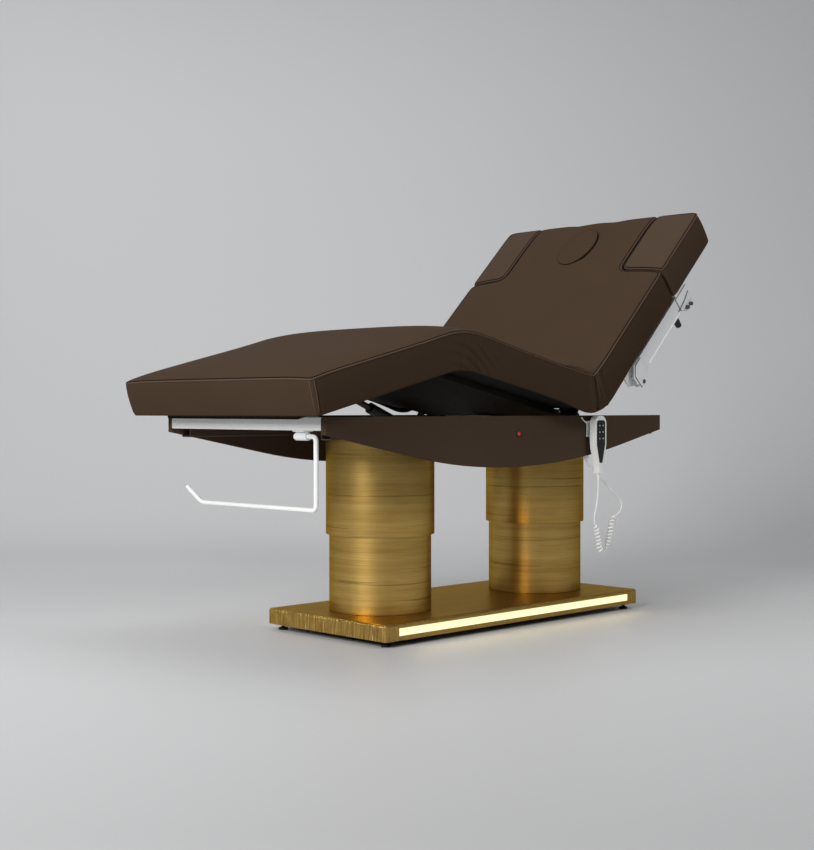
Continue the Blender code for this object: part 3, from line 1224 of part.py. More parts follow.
def handset():
    """The hand control on its hook: shell with clip and strain relief, keypad and six keys."""
    lift = axis("handset_axis", LIFT, (HANDSET_X, HANDSET_Y, HANDSET_TOP), own_frame=False)
    front, back = HANDSET_Y - HANDSET_DEPTH / 2, HANDSET_Y + HANDSET_DEPTH / 2
    half, neck = HANDSET_WIDTH / 2, HANDSET_NECK_WIDTH / 2
    shoulder = HANDSET_TOP - HANDSET_SHOULDER
    neck_top = HANDSET_BOTTOM + HANDSET_NECK_LENGTH
    corner_z = HANDSET_TOP - HANDSET_CORNER
    inset = half - HANDSET_CORNER
    right = [(neck, HANDSET_BOTTOM), (neck, neck_top)]
    for share in EASE_SHARES:
        ease = (1 - math.cos(math.pi * share)) / 2
        right.append((neck + (half - neck) * ease, neck_top + (shoulder - neck_top) * share))
    right += arc(inset, corner_z, HANDSET_CORNER, 0, math.pi / 2, ARC_STEPS)
    outline = [(HANDSET_X + u, v) for u, v in right] + [(HANDSET_X - u, v) for u, v in reversed(right)]
    shell = bevel(plate(lift, "y", [outline], front, back), HANDSET_EDGE, 2, 60)

    pad_top = HANDSET_TOP - KEYPAD_TOP_GAP
    pad_half, pad_foot = KEYPAD_WIDTH / 2, KEYPAD_FOOT_WIDTH / 2
    pad_corner = pad_half - KEYPAD_CORNER

    def pad_loop(margin):
        side = [
            (pad_foot + margin, pad_top - KEYPAD_LENGTH - margin), (pad_half + margin, pad_top - KEYPAD_SHOULDER),
            *arc(pad_corner, pad_top - KEYPAD_CORNER, KEYPAD_CORNER + margin, 0, math.pi / 2, 3),
        ]
        return [(HANDSET_X + u, v) for u, v in side] + [(HANDSET_X - u, v) for u, v in reversed(side)]

    key_places = [
        (HANDSET_X + column * KEY_SPREAD / 2, pad_top - KEY_FIRST - row * KEY_PITCH)
        for row in range(3) for column in (-1, 1)
    ]

    def key_loop(x, z, margin):
        half_width, half_length = KEY_WIDTH / 2 + margin, KEY_LENGTH / 2 + margin
        return rounded(x - half_width, z - half_length, x + half_width, z + half_length, KEY_CORNER, 1)

    cut(shell, plate(lift, "y", [pad_loop(FIT)], front - OVERRUN, front + KEYPAD_SEAT))
    well_floor = front + KEYPAD_SEAT + KEY_DEPTH
    cut(shell, *(plate(lift, "y", [key_loop(x, z, KEY_PLAY)], front, well_floor) for x, z in key_places))
    clip_x = HANDSET_X - CLIP_OFFSET
    clip_low = HOOK_BAR_Z + HOOK_WIRE + FIT
    clip_back = back + CLIP_STANDOFF + CLIP_SHEET
    bridge = box(
        lift, (clip_x - CLIP_WIDTH / 2, back - CLIP_SHEET, clip_low),
        (clip_x + CLIP_WIDTH / 2, clip_back, clip_low + CLIP_SHEET),
    )
    leg = box(
        lift, (clip_x - CLIP_WIDTH / 2, back + CLIP_STANDOFF, clip_low + CLIP_SHEET - CLIP_LEG),
        (clip_x + CLIP_WIDTH / 2, clip_back, clip_low + CLIP_SHEET / 2),
    )
    spot = (HANDSET_X, HANDSET_Y)
    relief = rod(
        lift, (*spot, HANDSET_BOTTOM + OVERRUN), (*spot, HANDSET_BOTTOM - RELIEF_LENGTH), RELIEF_RADIUS, RELIEF_TIP
    )
    keep(join(shell, bridge, leg, relief), "handset_shell", WHITE_PLASTIC)

    pad_back = front + KEYPAD_SEAT - FIT
    pad_front = pad_back - KEYPAD_SHEET
    loops = [pad_loop(0)] + [key_loop(x, z, KEY_PLAY) for x, z in key_places]
    keep(plate(lift, "y", loops, pad_front, pad_back), "handset_keypad", BLACK_PLASTIC)
    key_back = well_floor - KEY_TRAVEL - FIT
    for number, (x, z) in enumerate(key_places, 1):
        press = axis(f"handset_key_axis_{number}", lift, (x, pad_front - KEY_RISE, z), own_frame=False)
        key = plate(press, "y", [key_loop(x, z, 0)], pad_front - KEY_RISE, key_back)
        keep(key, f"handset_key_{number}", BLACK_PLASTIC)


def hook():
    """A wire bar on the left panel, on which the handset's clip hangs."""
    face = -PANEL_OUTER - HOOK_WIRE - FIT
    out = -PANEL_OUTER - HOOK_BAR_OUT
    start, end = HANDSET_X - HOOK_START, HANDSET_X + HOOK_END
    route = (
        (start, face, HOOK_BAR_Z + HOOK_RISE), (start + HOOK_BEND, face, HOOK_BAR_Z + HOOK_RISE / 2),
        (start + 2 * HOOK_BEND, out, HOOK_BAR_Z), (end - HOOK_BEND, out, HOOK_BAR_Z), (end, face, HOOK_BAR_Z),
    )
    keep(round_bar(LIFT, route, HOOK_WIRE, HOOK_BEND / 2, 2), "handset_hook", WHITE_PAINT)


def smooth(points, per_span):
    """Points along a smooth curve through the given ones."""
    ends = [2 * points[0] - points[1], *points, 2 * points[-1] - points[-2]]
    curve = []
    for before, a, b, after in zip(ends, ends[1:], ends[2:], ends[3:]):
        for i in range(per_span):
            t = i / per_span
            curve.append(
                0.5 * (2 * a + (b - before) * t + (2 * before - 5 * a + 4 * b - after) * t**2
                       + (3 * a - before - 3 * b + after) * t**3)
            )
    return [*curve, points[-1]]


def self_gap(points, diameter, skip):
    """The least distance between stretches of a cord that aren't neighbours along it."""
    least = math.inf
    for i, point in enumerate(points):
        for other in points[i + skip:]:
            least = min(least, (point - other).length)
    return least - diameter


def cord():
    """The gland under the left panel and the curly cord from it to the handset's strain relief."""
    edge, slope = panel_bottom_at(GLAND_X)
    down = Vector((math.sin(slope), 0, -math.cos(slope)))
    top = Vector((GLAND_X, -PANEL_MIDDLE, edge)) + down * FIT
    tip = top + down * GLAND_LENGTH
    gland = rod(LIFT, top, tip, GLAND_RADIUS, (GLAND_RADIUS + CORD) / 2)
    keep(gland, "cord_gland", WHITE_PLASTIC)

    start = tip + down * FIT
    finish = Vector((HANDSET_X, HANDSET_Y, HANDSET_BOTTOM - RELIEF_LENGTH - FIT))
    stops = [start, start + down * CORD, *(Vector(stop[:3]) * MM for stop in CORD_ROUTE)]
    stops += [finish - Vector((0, 0, CORD)), finish]
    curled = [0, 0, *(stop[3] for stop in CORD_ROUTE), 0, 0]
    centre = smooth(stops, CORD_STEPS)
    points = [centre[0]]
    phase, since = 0.0, 0.0
    side_way = Vector((0, 1, 0))
    for i in range(1, len(centre)):
        span, part = divmod(i, CORD_STEPS)
        after = min(span + 1, len(curled) - 1)
        amount = curled[span] + (curled[after] - curled[span]) * part / CORD_STEPS
        amount = amount * amount * (3 - 2 * amount)
        step = (centre[i] - centre[i - 1]).length
        since += step
        phase += math.tau * step / CURL_PITCH if amount > 0 else 0.0
        spacing = CURL_PITCH / CURL_POINTS if amount > 0 else 2 * CORD
        if since < spacing and i < len(centre) - 1:
            continue
        since = 0.0
        along_cord = (centre[min(i + 1, len(centre) - 1)] - centre[i - 1]).normalized()
        out_way = along_cord.cross(side_way).normalized()
        swing = side_way * math.cos(phase) + out_way * math.sin(phase)
        points.append(centre[i] + swing * CURL_RADIUS * amount)
    points[-1] = finish
    data = bpy.data.curves.new("shape", "CURVE")
    data.dimensions = "3D"
    data.bevel_depth = CORD / 2
    data.bevel_resolution = 1
    data.use_fill_caps = True
    spline = data.splines.new("POLY")
    spline.points.add(len(points) - 1)
    for point, place in zip(spline.points, points):
        point.co = (*place, 1)
    keep(welded(shape(data, LIFT)), "hand_cord", WHITE_PLASTIC)
    length = sum((b - a).length for a, b in zip(points, points[1:]))
    gap = self_gap(points, CORD, CURL_POINTS // 2 + 1)
    print(f"cord: {len(points)} points, {length:.3f} m, least gap to itself {gap / MM:.2f} mm")


TABLE = axis("table", None, (-ORIGIN_X, 0, 0))
STAGES = axis("stages_axis", TABLE, (0, 0, 0))
LIFT = axis("lift_axis", TABLE, (0, 0, 0))
SEAT = axis("seat_axis", LIFT, SEAT_PIVOT, SEAT_TILT)
LEG = axis("leg_axis", SEAT, (-SEAT_LENGTH, 0, 0), -KNEE_BEND)
BACK = axis("back_axis", LIFT, BACK_PIVOT, -BACK_TILT)

base()
for end in COLUMN_XS:
    column(end)
frame()
stop_button()
paper_holder()
leg_cushion()
seat_cushion()
knee_fold()
crease_fold()
boards()
head_end()
for name, side in SIDES.items():
    arm(name, side)
motor("back_motor", -1, Vector((BACK_MOTOR_X, 0, BACK_MOTOR_Z)), LEVER_END)
motor("knee_motor", 1, Vector((SEAT_MOTOR_X, 0, SEAT_MOTOR_Z)), SEAT_EAR)
handset()
hook()
cord()
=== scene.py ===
"""An electric massage table: a lit gold base, two telescopic columns, a lifting frame and a three-part leather top.

Metres, +X towards the head end, +Z up. -Y is the side with the hand control, called left, because it is at the
left hand of a person who lies on their back. The sections follow the table as it is put together, from the floor up.
"""

import math

import bmesh
import bpy
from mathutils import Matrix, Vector, noise
from mathutils.bvhtree import BVHTree


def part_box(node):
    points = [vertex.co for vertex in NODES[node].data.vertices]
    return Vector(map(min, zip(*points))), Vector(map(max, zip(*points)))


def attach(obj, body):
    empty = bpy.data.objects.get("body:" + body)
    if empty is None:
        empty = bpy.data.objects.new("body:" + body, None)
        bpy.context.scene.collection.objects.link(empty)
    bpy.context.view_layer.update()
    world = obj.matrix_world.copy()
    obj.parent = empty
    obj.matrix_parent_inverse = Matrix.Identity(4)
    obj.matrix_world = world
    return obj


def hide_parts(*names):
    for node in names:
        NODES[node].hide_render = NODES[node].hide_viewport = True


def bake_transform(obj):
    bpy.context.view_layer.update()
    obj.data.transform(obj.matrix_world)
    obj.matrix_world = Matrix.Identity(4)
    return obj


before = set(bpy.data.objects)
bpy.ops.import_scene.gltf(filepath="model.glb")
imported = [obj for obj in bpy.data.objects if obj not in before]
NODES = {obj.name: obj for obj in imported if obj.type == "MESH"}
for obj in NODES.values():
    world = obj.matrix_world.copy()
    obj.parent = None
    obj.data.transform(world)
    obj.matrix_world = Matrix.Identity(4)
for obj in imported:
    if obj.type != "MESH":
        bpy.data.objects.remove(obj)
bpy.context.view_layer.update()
ENDS = ("foot", "head")
SIDES = {"left": -1, "right": 1}

# ---- The camera stands at the foot end's left corner, a little above the base and level with the side panels.
# Its place, turn and lens follow from the photo's straight edges.
camera = bpy.data.objects.new("camera", bpy.data.cameras.new("camera"))
camera.data.lens = 60.37
camera.data.sensor_width = 36
camera.location = (-3.1727, -3.07728, 0.66109)
camera.rotation_euler = (math.radians(89.3546), math.radians(0.0225), math.radians(-44.634))
bpy.context.scene.collection.objects.link(camera)
bpy.context.scene.camera = camera


# ---- Base shell: a folded steel cover with a hammered gold skin. Its top is brushed, and the narrow edges are beaten.
# It stands 18 mm off the floor on a black tray with four levelling feet.
class Value:
    """A number that varies over a surface; Python's operators add its Math nodes."""

    def __init__(self, finish, socket):
        self.finish = finish
        self.socket = socket

    def __add__(self, other):
        return self.finish.maths("ADD", self, other)

    def __sub__(self, other):
        return self.finish.maths("SUBTRACT", self, other)

    def __rsub__(self, other):
        return self.finish.maths("SUBTRACT", other, self)

    def __mul__(self, other):
        return self.finish.maths("MULTIPLY", self, other)

    __radd__ = __add__
    __rmul__ = __mul__


class Finish:
    """A material built up from nodes on its Principled shader."""

    def __init__(self, name, **constants):
        self.material = bpy.data.materials.new(name)
        self.material.use_nodes = True
        self.tree = self.material.node_tree
        self.shader = self.tree.nodes["Principled BSDF"]
        for socket, value in constants.items():
            self.shader.inputs[socket.replace("_", " ")].default_value = value

    def node(self, kind, settings, sockets):
        """A node with its settings made first, then its sockets set or linked."""
        made = self.tree.nodes.new(kind)
        for key, setting in settings.items():
            if key == "stops":
                while len(made.color_ramp.elements) < len(setting):
                    made.color_ramp.elements.new(1)
                for element, (place, colour) in zip(made.color_ramp.elements, setting):
                    element.position = place
                    element.color = (*colour, 1)
            else:
                setattr(made, key, setting)
        for key, value in sockets.items():
            self.join(value, made.inputs[key])
        return made

    def join(self, value, socket):
        value = getattr(value, "socket", value)
        if isinstance(value, bpy.types.NodeSocket):
            self.tree.links.new(value, socket)
        else:
            socket.default_value = value

    def maths(self, operation, first, second=0.0):
        return Value(self, self.node("ShaderNodeMath", {"operation": operation}, {0: first, 1: second}).outputs[0])

    def place(self, scale=(1, 1, 1), turn=(0, 0, 0)):
        """The table's own coordinates, stretched by a scale."""
        spot = self.node("ShaderNodeTexCoord", {}, {}).outputs["Object"]
        return self.node("ShaderNodeMapping", {}, {"Vector": spot, "Rotation": turn, "Scale": scale}).outputs[0]

    def clouds(self, scale, detail=3.0, stretch=(1, 1, 1), warp=0.0):
        """Smooth noise from 0 to 1."""
        made = self.node(
            "ShaderNodeTexNoise", {},
            {"Vector": self.place(stretch), "Scale": scale, "Detail": detail, "Distortion": warp},
        )
        return Value(self, made.outputs[0])

    def cells(self, scale):
        """Distance to the nearest of many scattered points."""
        made = self.node("ShaderNodeTexVoronoi", {"feature": "F1"}, {"Vector": self.place(), "Scale": scale})
        return Value(self, made.outputs["Distance"])

    def blend(self, mask, first, second):
        """A colour between two others."""
        return self.node("ShaderNodeMix", {"data_type": "RGBA"}, {0: mask, 6: first, 7: second}).outputs[2]

    def ramp(self, value, stops):
        return self.node("ShaderNodeValToRGB", {"stops": stops}, {0: value}).outputs[0]

    def relief(self, height, depth, strength=1.0, under=None):
        sockets = {"Height": height, "Distance": depth, "Strength": strength}
        if under:
            sockets["Normal"] = under
        return self.node("ShaderNodeBump", {}, sockets).outputs[0]

    def finished(self, **sockets):
        for socket, value in sockets.items():
            self.join(value, self.shader.inputs[socket.replace("_", " ")])
        return self.material


def gold(name, stretch, groove=0.0, strokes=None, light=1.0):
    """Gold-toned steel with fine brush lines along the axis that is stretched least.

    groove darkens scattered deep lines. strokes is the height above which the beaten edge of a plate ends.
    """
    finish = Finish(name, Metallic=0.95, Specular_Tint=(0.55, 0.42, 0.20, 1))
    fine = finish.clouds(1.0, 4, [7 * s for s in stretch])
    broad = finish.clouds(1.0, 2, [0.5 * s for s in stretch], 0.2)
    tone = fine * 0.5 + broad * 0.5
    shades = ((0.3, (0.36, 0.215, 0.055)), (0.5, (0.49, 0.315, 0.09)), (0.72, (0.60, 0.41, 0.135)))
    colour = finish.ramp(tone, [(place, [light * part for part in shade]) for place, shade in shades])
    height = fine * 0.6 + broad * 0.4
    if groove:
        deep = finish.clouds(1.0, 2, (0.08, 0.08, 0.3 * stretch[2]))
        away = finish.maths("ABSOLUTE", deep - groove)
        line = finish.maths("LESS_THAN", away, 0.0028)
        colour = finish.blend(line * 0.45, colour, (0.14, 0.075, 0.02, 1))
    normal = finish.relief(height, 0.0004, 0.3)
    rough = 0.27 + tone * 0.18
    if strokes:
        spot = finish.node("ShaderNodeSeparateXYZ", {}, {0: finish.place()})
        low = 1 - finish.maths("GREATER_THAN", spot.outputs["Z"], strokes)
        dents = finish.clouds(1.0, 3, (150, 150, 14), 0.5)
        normal = finish.relief(dents * low, 0.007, 0.75, normal)
        rough = rough + (dents - 0.5) * 0.3 * low
    return finish.finished(Base_Color=colour, Roughness=rough, Normal=normal)


def coat(name, dark, light, patches, grain, rough, bump=None, **constants):
    """A finish of two tones in soft patches, or in its grain where patches is None.

    grain is the scale, detail and stretch of the noise that varies its roughness and, with bump, its relief.
    """
    finish = Finish(name, **constants)
    fine = finish.clouds(*grain)
    tone = finish.clouds(patches) if patches else fine
    relief = {"Normal": finish.relief(fine, *bump)} if bump else {}
    colour = finish.blend(tone, (*dark, 1), (*light, 1))
    return finish.finished(Base_Color=colour, Roughness=rough[0] + fine * rough[1], **relief)


def dress(material, *names):
    """Gives CAD nodes that keep their shape a finish."""
    for name in names:
        for slot in NODES[name].material_slots:
            slot.material = material


def placed(name, mesh, *materials):
    """An object in the scene with these materials."""
    mesh.name = name
    piece = bpy.data.objects.new(name, mesh)
    bpy.context.scene.collection.objects.link(piece)
    for material in materials:
        mesh.materials.append(material)
    return piece


def show(name, mesh, material, body, slot, *replaced):
    """A piece of the table in the scene, riding on its body and standing for the nodes that it replaces."""
    piece = placed(name, mesh, material)
    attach(piece, body)
    if replaced:
        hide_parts(*replaced)
    return piece


def form_mesh(form, sharp=40):
    """A mesh from a bmesh, smooth but for its sharp edges."""
    bmesh.ops.recalc_face_normals(form, faces=form.faces)
    mesh = bpy.data.meshes.new("form")
    form.to_mesh(mesh)
    form.free()
    mesh.shade_smooth()
    mesh.set_sharp_from_angle(angle=math.radians(sharp))
    return mesh


dress(gold("base_gold", (3, 60, 60), strokes=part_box("base_plate")[1].z - 0.0015), "base_plate")
dress(
    coat(
        "tray_powder_coat", (0.010, 0.010, 0.010), (0.022, 0.021, 0.020), 12, (900, 2), (0.42, 0.2), (0.0002, 0.4),
        Specular_IOR_Level=0.12,
    ),
    "base_tray",
)

# ---- Light strips: a milky diffuser pushed into the slot in each long side of the base, with a row of warm lamps.
# The lamps show as a slow rise and fall of brightness along it.
glow = Finish("warm_diffuser", Roughness=0.35)
lamps = glow.node(
    "ShaderNodeTexWave", {"wave_type": "BANDS", "bands_direction": "X"}, {"Vector": glow.place((9, 1, 1)), "Scale": 1.0}
)
shine = glow.blend(Value(glow, lamps.outputs[1]) * 0.5, (1.0, 0.93, 0.52, 1), (1.0, 0.98, 0.72, 1))
glow.shader.inputs["Emission Strength"].default_value = 1.0
dress(glow.finished(Base_Color=(0.25, 0.23, 0.15, 1), Emission_Color=shine), "led_strip_left", "led_strip_right")

# ---- Columns: a gold tube on the base and a wider sleeve under the frame that slides down over it. Both are rolled
# sheet with lathe-like brush lines round them, and a thin seam where two lengths of the sleeve meet.
COLUMN_FACETS = 144
TUBE_WALL = 0.003
TUBE_EDGE = 0.0012
SLEEVE_EDGE = 0.002
SLEEVE_SEAM = 0.41  # the seam's height above the floor
SEAM_DEPTH = 0.0009
SEAM_HALF = 0.0011
SLEEVE_HEM = 0.009  # how far the sleeve's lower end is folded in, and how high the fold reaches
HEM_HEIGHT = 0.012
SLEEVE_BORE = 0.02  # radius of the hole in the sleeve's top
column_gold = gold("column_gold", (1.6, 1.6, 95), groove=0.5)
# The tubes' gold is the sleeves' gold painted 15 % lighter: painted light on the lower tubes.
tube_gold_painted_light = gold("tube_gold_painted_light", (1.6, 1.6, 95), groove=0.5, light=1.15)


def turned(profile, x):
    """A body turned about a column's axis from (radius, height) points down its outer side."""
    form = bmesh.new()
    rows = []
    for i in range(COLUMN_FACETS):
        angle = math.tau * i / COLUMN_FACETS
        way = Vector((math.cos(angle), math.sin(angle), 0))
        rows.append([form.verts.new(Vector((x, 0, height)) + way * radius) for radius, height in profile])
    for one, other in zip(rows, rows[1:] + rows[:1]):
        for i in range(len(profile) - 1):
            form.faces.new((one[i], other[i], other[i + 1], one[i + 1]))
    return form_mesh(form, 30)


for end in ENDS:
    low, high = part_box("column_tube_" + end)
    x, radius = (low.x + high.x) / 2, (high.y - low.y) / 2
    tube = [
        (radius - TUBE_WALL, high.z - TUBE_EDGE), (radius - 0.002, high.z), (radius - TUBE_EDGE, high.z),
        (radius, high.z - TUBE_EDGE), (radius, low.z + TUBE_EDGE), (radius - TUBE_EDGE, low.z),
        (radius - TUBE_WALL, low.z),
    ]
    show("tube_shell_" + end, turned(tube, x), tube_gold_painted_light, "base", "gold_metal", "column_tube_" + end)
    low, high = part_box("column_sleeve_" + end)
    radius = (high.y - low.y) / 2
    inner, seam, hem = radius - TUBE_WALL, radius - SEAM_DEPTH, radius - SLEEVE_HEM
    sleeve = [
        (SLEEVE_BORE, high.z), (radius - SLEEVE_EDGE, high.z), (radius, high.z - SLEEVE_EDGE),
        (radius, SLEEVE_SEAM + SEAM_HALF), (seam, SLEEVE_SEAM + 0.0004), (seam, SLEEVE_SEAM - 0.0004),
        (radius, SLEEVE_SEAM - SEAM_HALF), (radius, low.z + 0.0016), (radius - 0.0005, low.z + 0.0004),
        (radius - 0.0016, low.z), (hem, low.z), (hem, low.z + HEM_HEIGHT), (inner, low.z + HEM_HEIGHT),
        (inner, high.z - 0.004), (SLEEVE_BORE, high.z - 0.004),
    ]
    show("sleeve_shell_" + end, turned(sleeve, x), column_gold, "lift_frame", "gold_metal", "column_sleeve_" + end)

# ---- Lifting stages inside the columns: drawn square steel tubes that slide in one another. The rods that the seat
# and the back turn on are of the same steel.
dress(
    coat(
        "drawn_steel", (0.38, 0.38, 0.39), (0.56, 0.56, 0.57), None, (1.0, 3, (160, 160, 3)), (0.30, 0.25),
        (0.0003, 0.3), Metallic=0.9,
    ),
    *(f"lift_{part}_{end}" for part in ("housing", "stage", "ram") for end in ENDS),
    "seat_pivot_rod", "back_pivot_rod",
)

# ---- Frame: welded rails and cross members that the columns carry. The steel is powder-coated in a brown near that of
# the panels.
dress(
    coat(
        "frame_powder_coat", (0.060, 0.042, 0.030), (0.080, 0.056, 0.040), 9, (900, 2), (0.5, 0.2), (0.0002, 0.4),
        Specular_IOR_Level=0.12,
    ),
    *(f"frame_rail_{side}" for side in SIDES), *(f"cross_member_{end}" for end in ENDS),
)


# ---- Side panels: plywood boats covered in brown leather, pulled tight and stapled behind. They are fixed to the
# rails and hide the frame.
def leather(name, dark, light, grain=1.0, sheen=0.006):
    """Soft furniture leather: fine grain, slow changes of tone and of sheen."""
    finish = Finish(name, Specular_IOR_Level=sheen)
    broad = finish.clouds(5.0, 3)
    pores = finish.cells(620)
    creases = finish.clouds(170, 4, (1, 1, 1), 0.6)
    tone = broad * 0.7 + creases * 0.3
    colour = finish.blend(tone, (*dark, 1), (*light, 1))
    rough = 0.44 + broad * 0.10 + pores * 0.10
    normal = finish.relief(pores * 0.6 + creases * 0.8, 0.0005, 0.16 * grain)
    normal = finish.relief(finish.clouds(9.0, 2), 0.004, 0.10, normal)
    return finish.finished(Base_Color=colour, Roughness=rough, Normal=normal)


top_leather = leather("top_leather", (0.048, 0.0305, 0.0190), (0.062, 0.0400, 0.0255), sheen=0.004)
panel_leather = leather("panel_leather", (0.066, 0.0440, 0.0290), (0.084, 0.0560, 0.0380))
dress(panel_leather, "side_panel_left", "side_panel_right")

# ---- Foot bar, roll clamp and bent rod for a paper roll: white powder-coated steel under the foot end. The hand
# control's wire hook has the same coat.
dress(
    coat("white_powder_coat", (0.80, 0.80, 0.79), (0.88, 0.88, 0.87), 4, (420, 2), (0.32, 0.12), (0.0003, 0.25)),
    "foot_bar", "roll_clamp", "paper_rod", "handset_hook",
)

# ---- Motors, control box, knobs and the stop button's bezel: moulded in black glass-filled nylon. The motors' rods
# are blackened steel.
dress(
    coat("black_moulding", (0.012, 0.012, 0.013), (0.022, 0.022, 0.023), 20, (1200, 2), (0.42, 0.2), (0.0002, 0.5)),
    "back_motor", "knee_motor", "control_box", "arm_knob_left", "arm_knob_right", "stop_button_bezel",
)
dress(
    coat(
        "blackened_steel", (0.060, 0.055, 0.050), (0.11, 0.10, 0.09), None, (1.0, 3, (4, 160, 160)), (0.35, 0.2),
        (0.0002, 0.3), Metallic=0.8,
    ),
    "back_motor_rod", "knee_motor_rod",
)

# ---- Boards: plywood under each part of the top. Its colour is near black as painted shade, standing for the shade
# under the top. The cushions' covers are stapled to them.
plywood = Finish("plywood_painted_shade", Specular_IOR_Level=0.03)
rings = plywood.node(
    "ShaderNodeTexWave", {"wave_type": "BANDS", "bands_direction": "Y"},
    {"Vector": plywood.place((1, 9, 20)), "Scale": 1.4, "Distortion": 6.0, "Detail": 3.0},
)
fibres = plywood.clouds(1, 3, (8, 200, 200))
dress(
    plywood.finished(
        Base_Color=plywood.blend(Value(plywood, rings.outputs[1]), (0.012, 0.010, 0.008, 1), (0.020, 0.017, 0.014, 1)),
        Roughness=0.6 + plywood.clouds(40) * 0.2, Normal=plywood.relief(fibres, 0.0003, 0.3),
    ),
    "seat_board", "leg_board", "back_board",
)

# ---- Mattress: one upholstered foam pad over the three boards. It bends at the knee and folds in a crease before the
# back. A welted seam joins the top panel to the sides, and the sides draw in towards the boards.
TOP_HALF = 0.41
SEAM_H = 0.0995
CROWN_H = 0.026
TOP_H = SEAM_H + CROWN_H
# The lines of the boards' hinges in the XZ plane: a point, the way towards the head, and the pad's height above it.
LEG_LINE = (Vector((-0.31596, 0.76469)), Vector((0.97042, 0.24141)), 0.0083)
SEAT_LINE = (Vector((0.22265, 0.65335)), Vector((0.97929, -0.20245)), 0.0083)
BACK_LINE = (Vector((0.31145, 0.63885)), Vector((0.71019, 0.70401)), 0.0225)
LEG_FOOT = -0.548  # where the stretches of the pad end, along these lines
SEAT_KNEE = -0.55
BACK_HEAD = 0.826


def spot(line, along, height):
    """A point beside a board's hinge line, in the table's XZ plane."""
    place, way, lift = line
    return place + way * along + Vector((-way.y, way.x)) * (lift + height)


def meeting(line, other, height):
    """Where two stretches' lines at one height cross, as a distance along each."""
    one, two = spot(line, 0, height), spot(other, 0, height)
    a, b = line[1], other[1]
    spread = a.x * b.y - a.y * b.x
    gap = two - one
    return (gap.x * b.y - gap.y * b.x) / spread, (gap.x * a.y - gap.y * a.x) / spread


def turning(start, corner, end, radius, count):
    """Evenly spaced points from start round a corner to end, as many before the corner's middle as after it."""
    come, leave = (start - corner).normalized(), (end - corner).normalized()
    steps = [i / 40 for i in range(41)]
    points = [corner + come * radius * (1 - t) ** 2 + leave * radius * t * t for t in steps]
    halves = ([start, *points[:21]], [*points[20:], end])
    result = []
    for half in halves:
        lengths = [0.0]
        for a, b in zip(half, half[1:]):
            lengths.append(lengths[-1] + (b - a).length)
        for i in range(count + 1):
            target = lengths[-1] * i / count
            k = max(1, min(sum(length < target - 1e-9 for length in lengths), len(half) - 1))
            share = (target - lengths[k - 1]) / (lengths[k] - lengths[k - 1])
            result.append(half[k - 1].lerp(half[k], share))
    return result[:count + 1] + result[count + 2:]


# The stations: distance along the top, the point under the pad and the point on its crown.
CREASE_REACH = 0.15
KNEE_REACH = 0.13
BEND_STEPS = 12
stations = [(LEG_FOOT, spot(LEG_LINE, LEG_FOOT, 0), spot(LEG_LINE, LEG_FOOT, TOP_H))]


def bend(before, after, ends, rounds):
    """Adds the stations of a bend between two stretches. Returns the distances to its middle and past its end."""
    paths = []
    for height, round_reach in zip((0, TOP_H), rounds):
        corner = spot(before, meeting(before, after, height)[0], height)
        first, last = spot(before, ends[0], height), spot(after, ends[1], height)
        paths.append(turning(first, corner, last, round_reach, BEND_STEPS))
    for low, top in zip(*paths):
        stations.append((stations[-1][0] + (top - stations[-1][2]).length, low, top))
    return stations[-1 - BEND_STEPS][0], stations[-1][0]


KNEE_MID, knee_end = bend(LEG_LINE, SEAT_LINE, (-KNEE_REACH, SEAT_KNEE + KNEE_REACH), (0.06, 0.08))
SEAT_SHIFT = knee_end - SEAT_KNEE - KNEE_REACH  # from a distance along the seat's line to one along the mattress
seat_top, back_top = meeting(SEAT_LINE, BACK_LINE, TOP_H)
CREASE, crease_end = bend(
    SEAT_LINE, BACK_LINE, (seat_top - CREASE_REACH, back_top + CREASE_REACH), (0.095, 0.010)
)
BACK_ZERO = crease_end - back_top - CREASE_REACH  # the mattress's distance at the back's hinge line
HEAD_END = BACK_ZERO + BACK_HEAD
stations.append((HEAD_END, spot(BACK_LINE, BACK_HEAD, 0), spot(BACK_LINE, BACK_HEAD, TOP_H)))


def hill(value, width):
    """A smooth bump: 1 where the value is 0, and next to nothing past twice the width."""
    return math.exp(-((value / width) ** 2))


def clip(value):
    return min(1, max(0, value))


def on_path(along, y, height):
    """The place of a point of the mattress: along it, across it, and above its underside."""
    for before, after in zip(stations, stations[1:]):
        if along <= after[0]:
            break
    share = (along - before[0]) / (after[0] - before[0])
    low, top = before[1].lerp(after[1], share), before[2].lerp(after[2], share)
    full = 1 + 0.05 * hill(along - KNEE_MID - 0.05, 0.17)  # the foam bunches up over the knee
    place = low.lerp(top, full * height / TOP_H)
    return Vector((place.x, y, place.y))


PAD_NOTCH = 0.5290  # along the back, where the arm pads' corners are taken out
PAD_INNER = 0.2490
PAD_CORNER = 0.030
FACE = (0.677, 0.088, 0.063)  # along the back, half length, half width of the hole
notch_u = BACK_ZERO + PAD_NOTCH
face_u = BACK_ZERO + FACE[0]


def swell(share):
    """Height of the crown at a share of the way from the middle to the edge."""
    return (1 - min(abs(share), 1) ** 3.0) ** 0.52


def skirt(along):
    """How far the cover's lower edge hangs below the boards: most at the crease, where the foam is squeezed out."""
    boards = 0.006 + 0.014 * clip((along - CREASE) / 0.10)
    return boards + 0.020 * hill(along - CREASE + 0.01, 0.085)


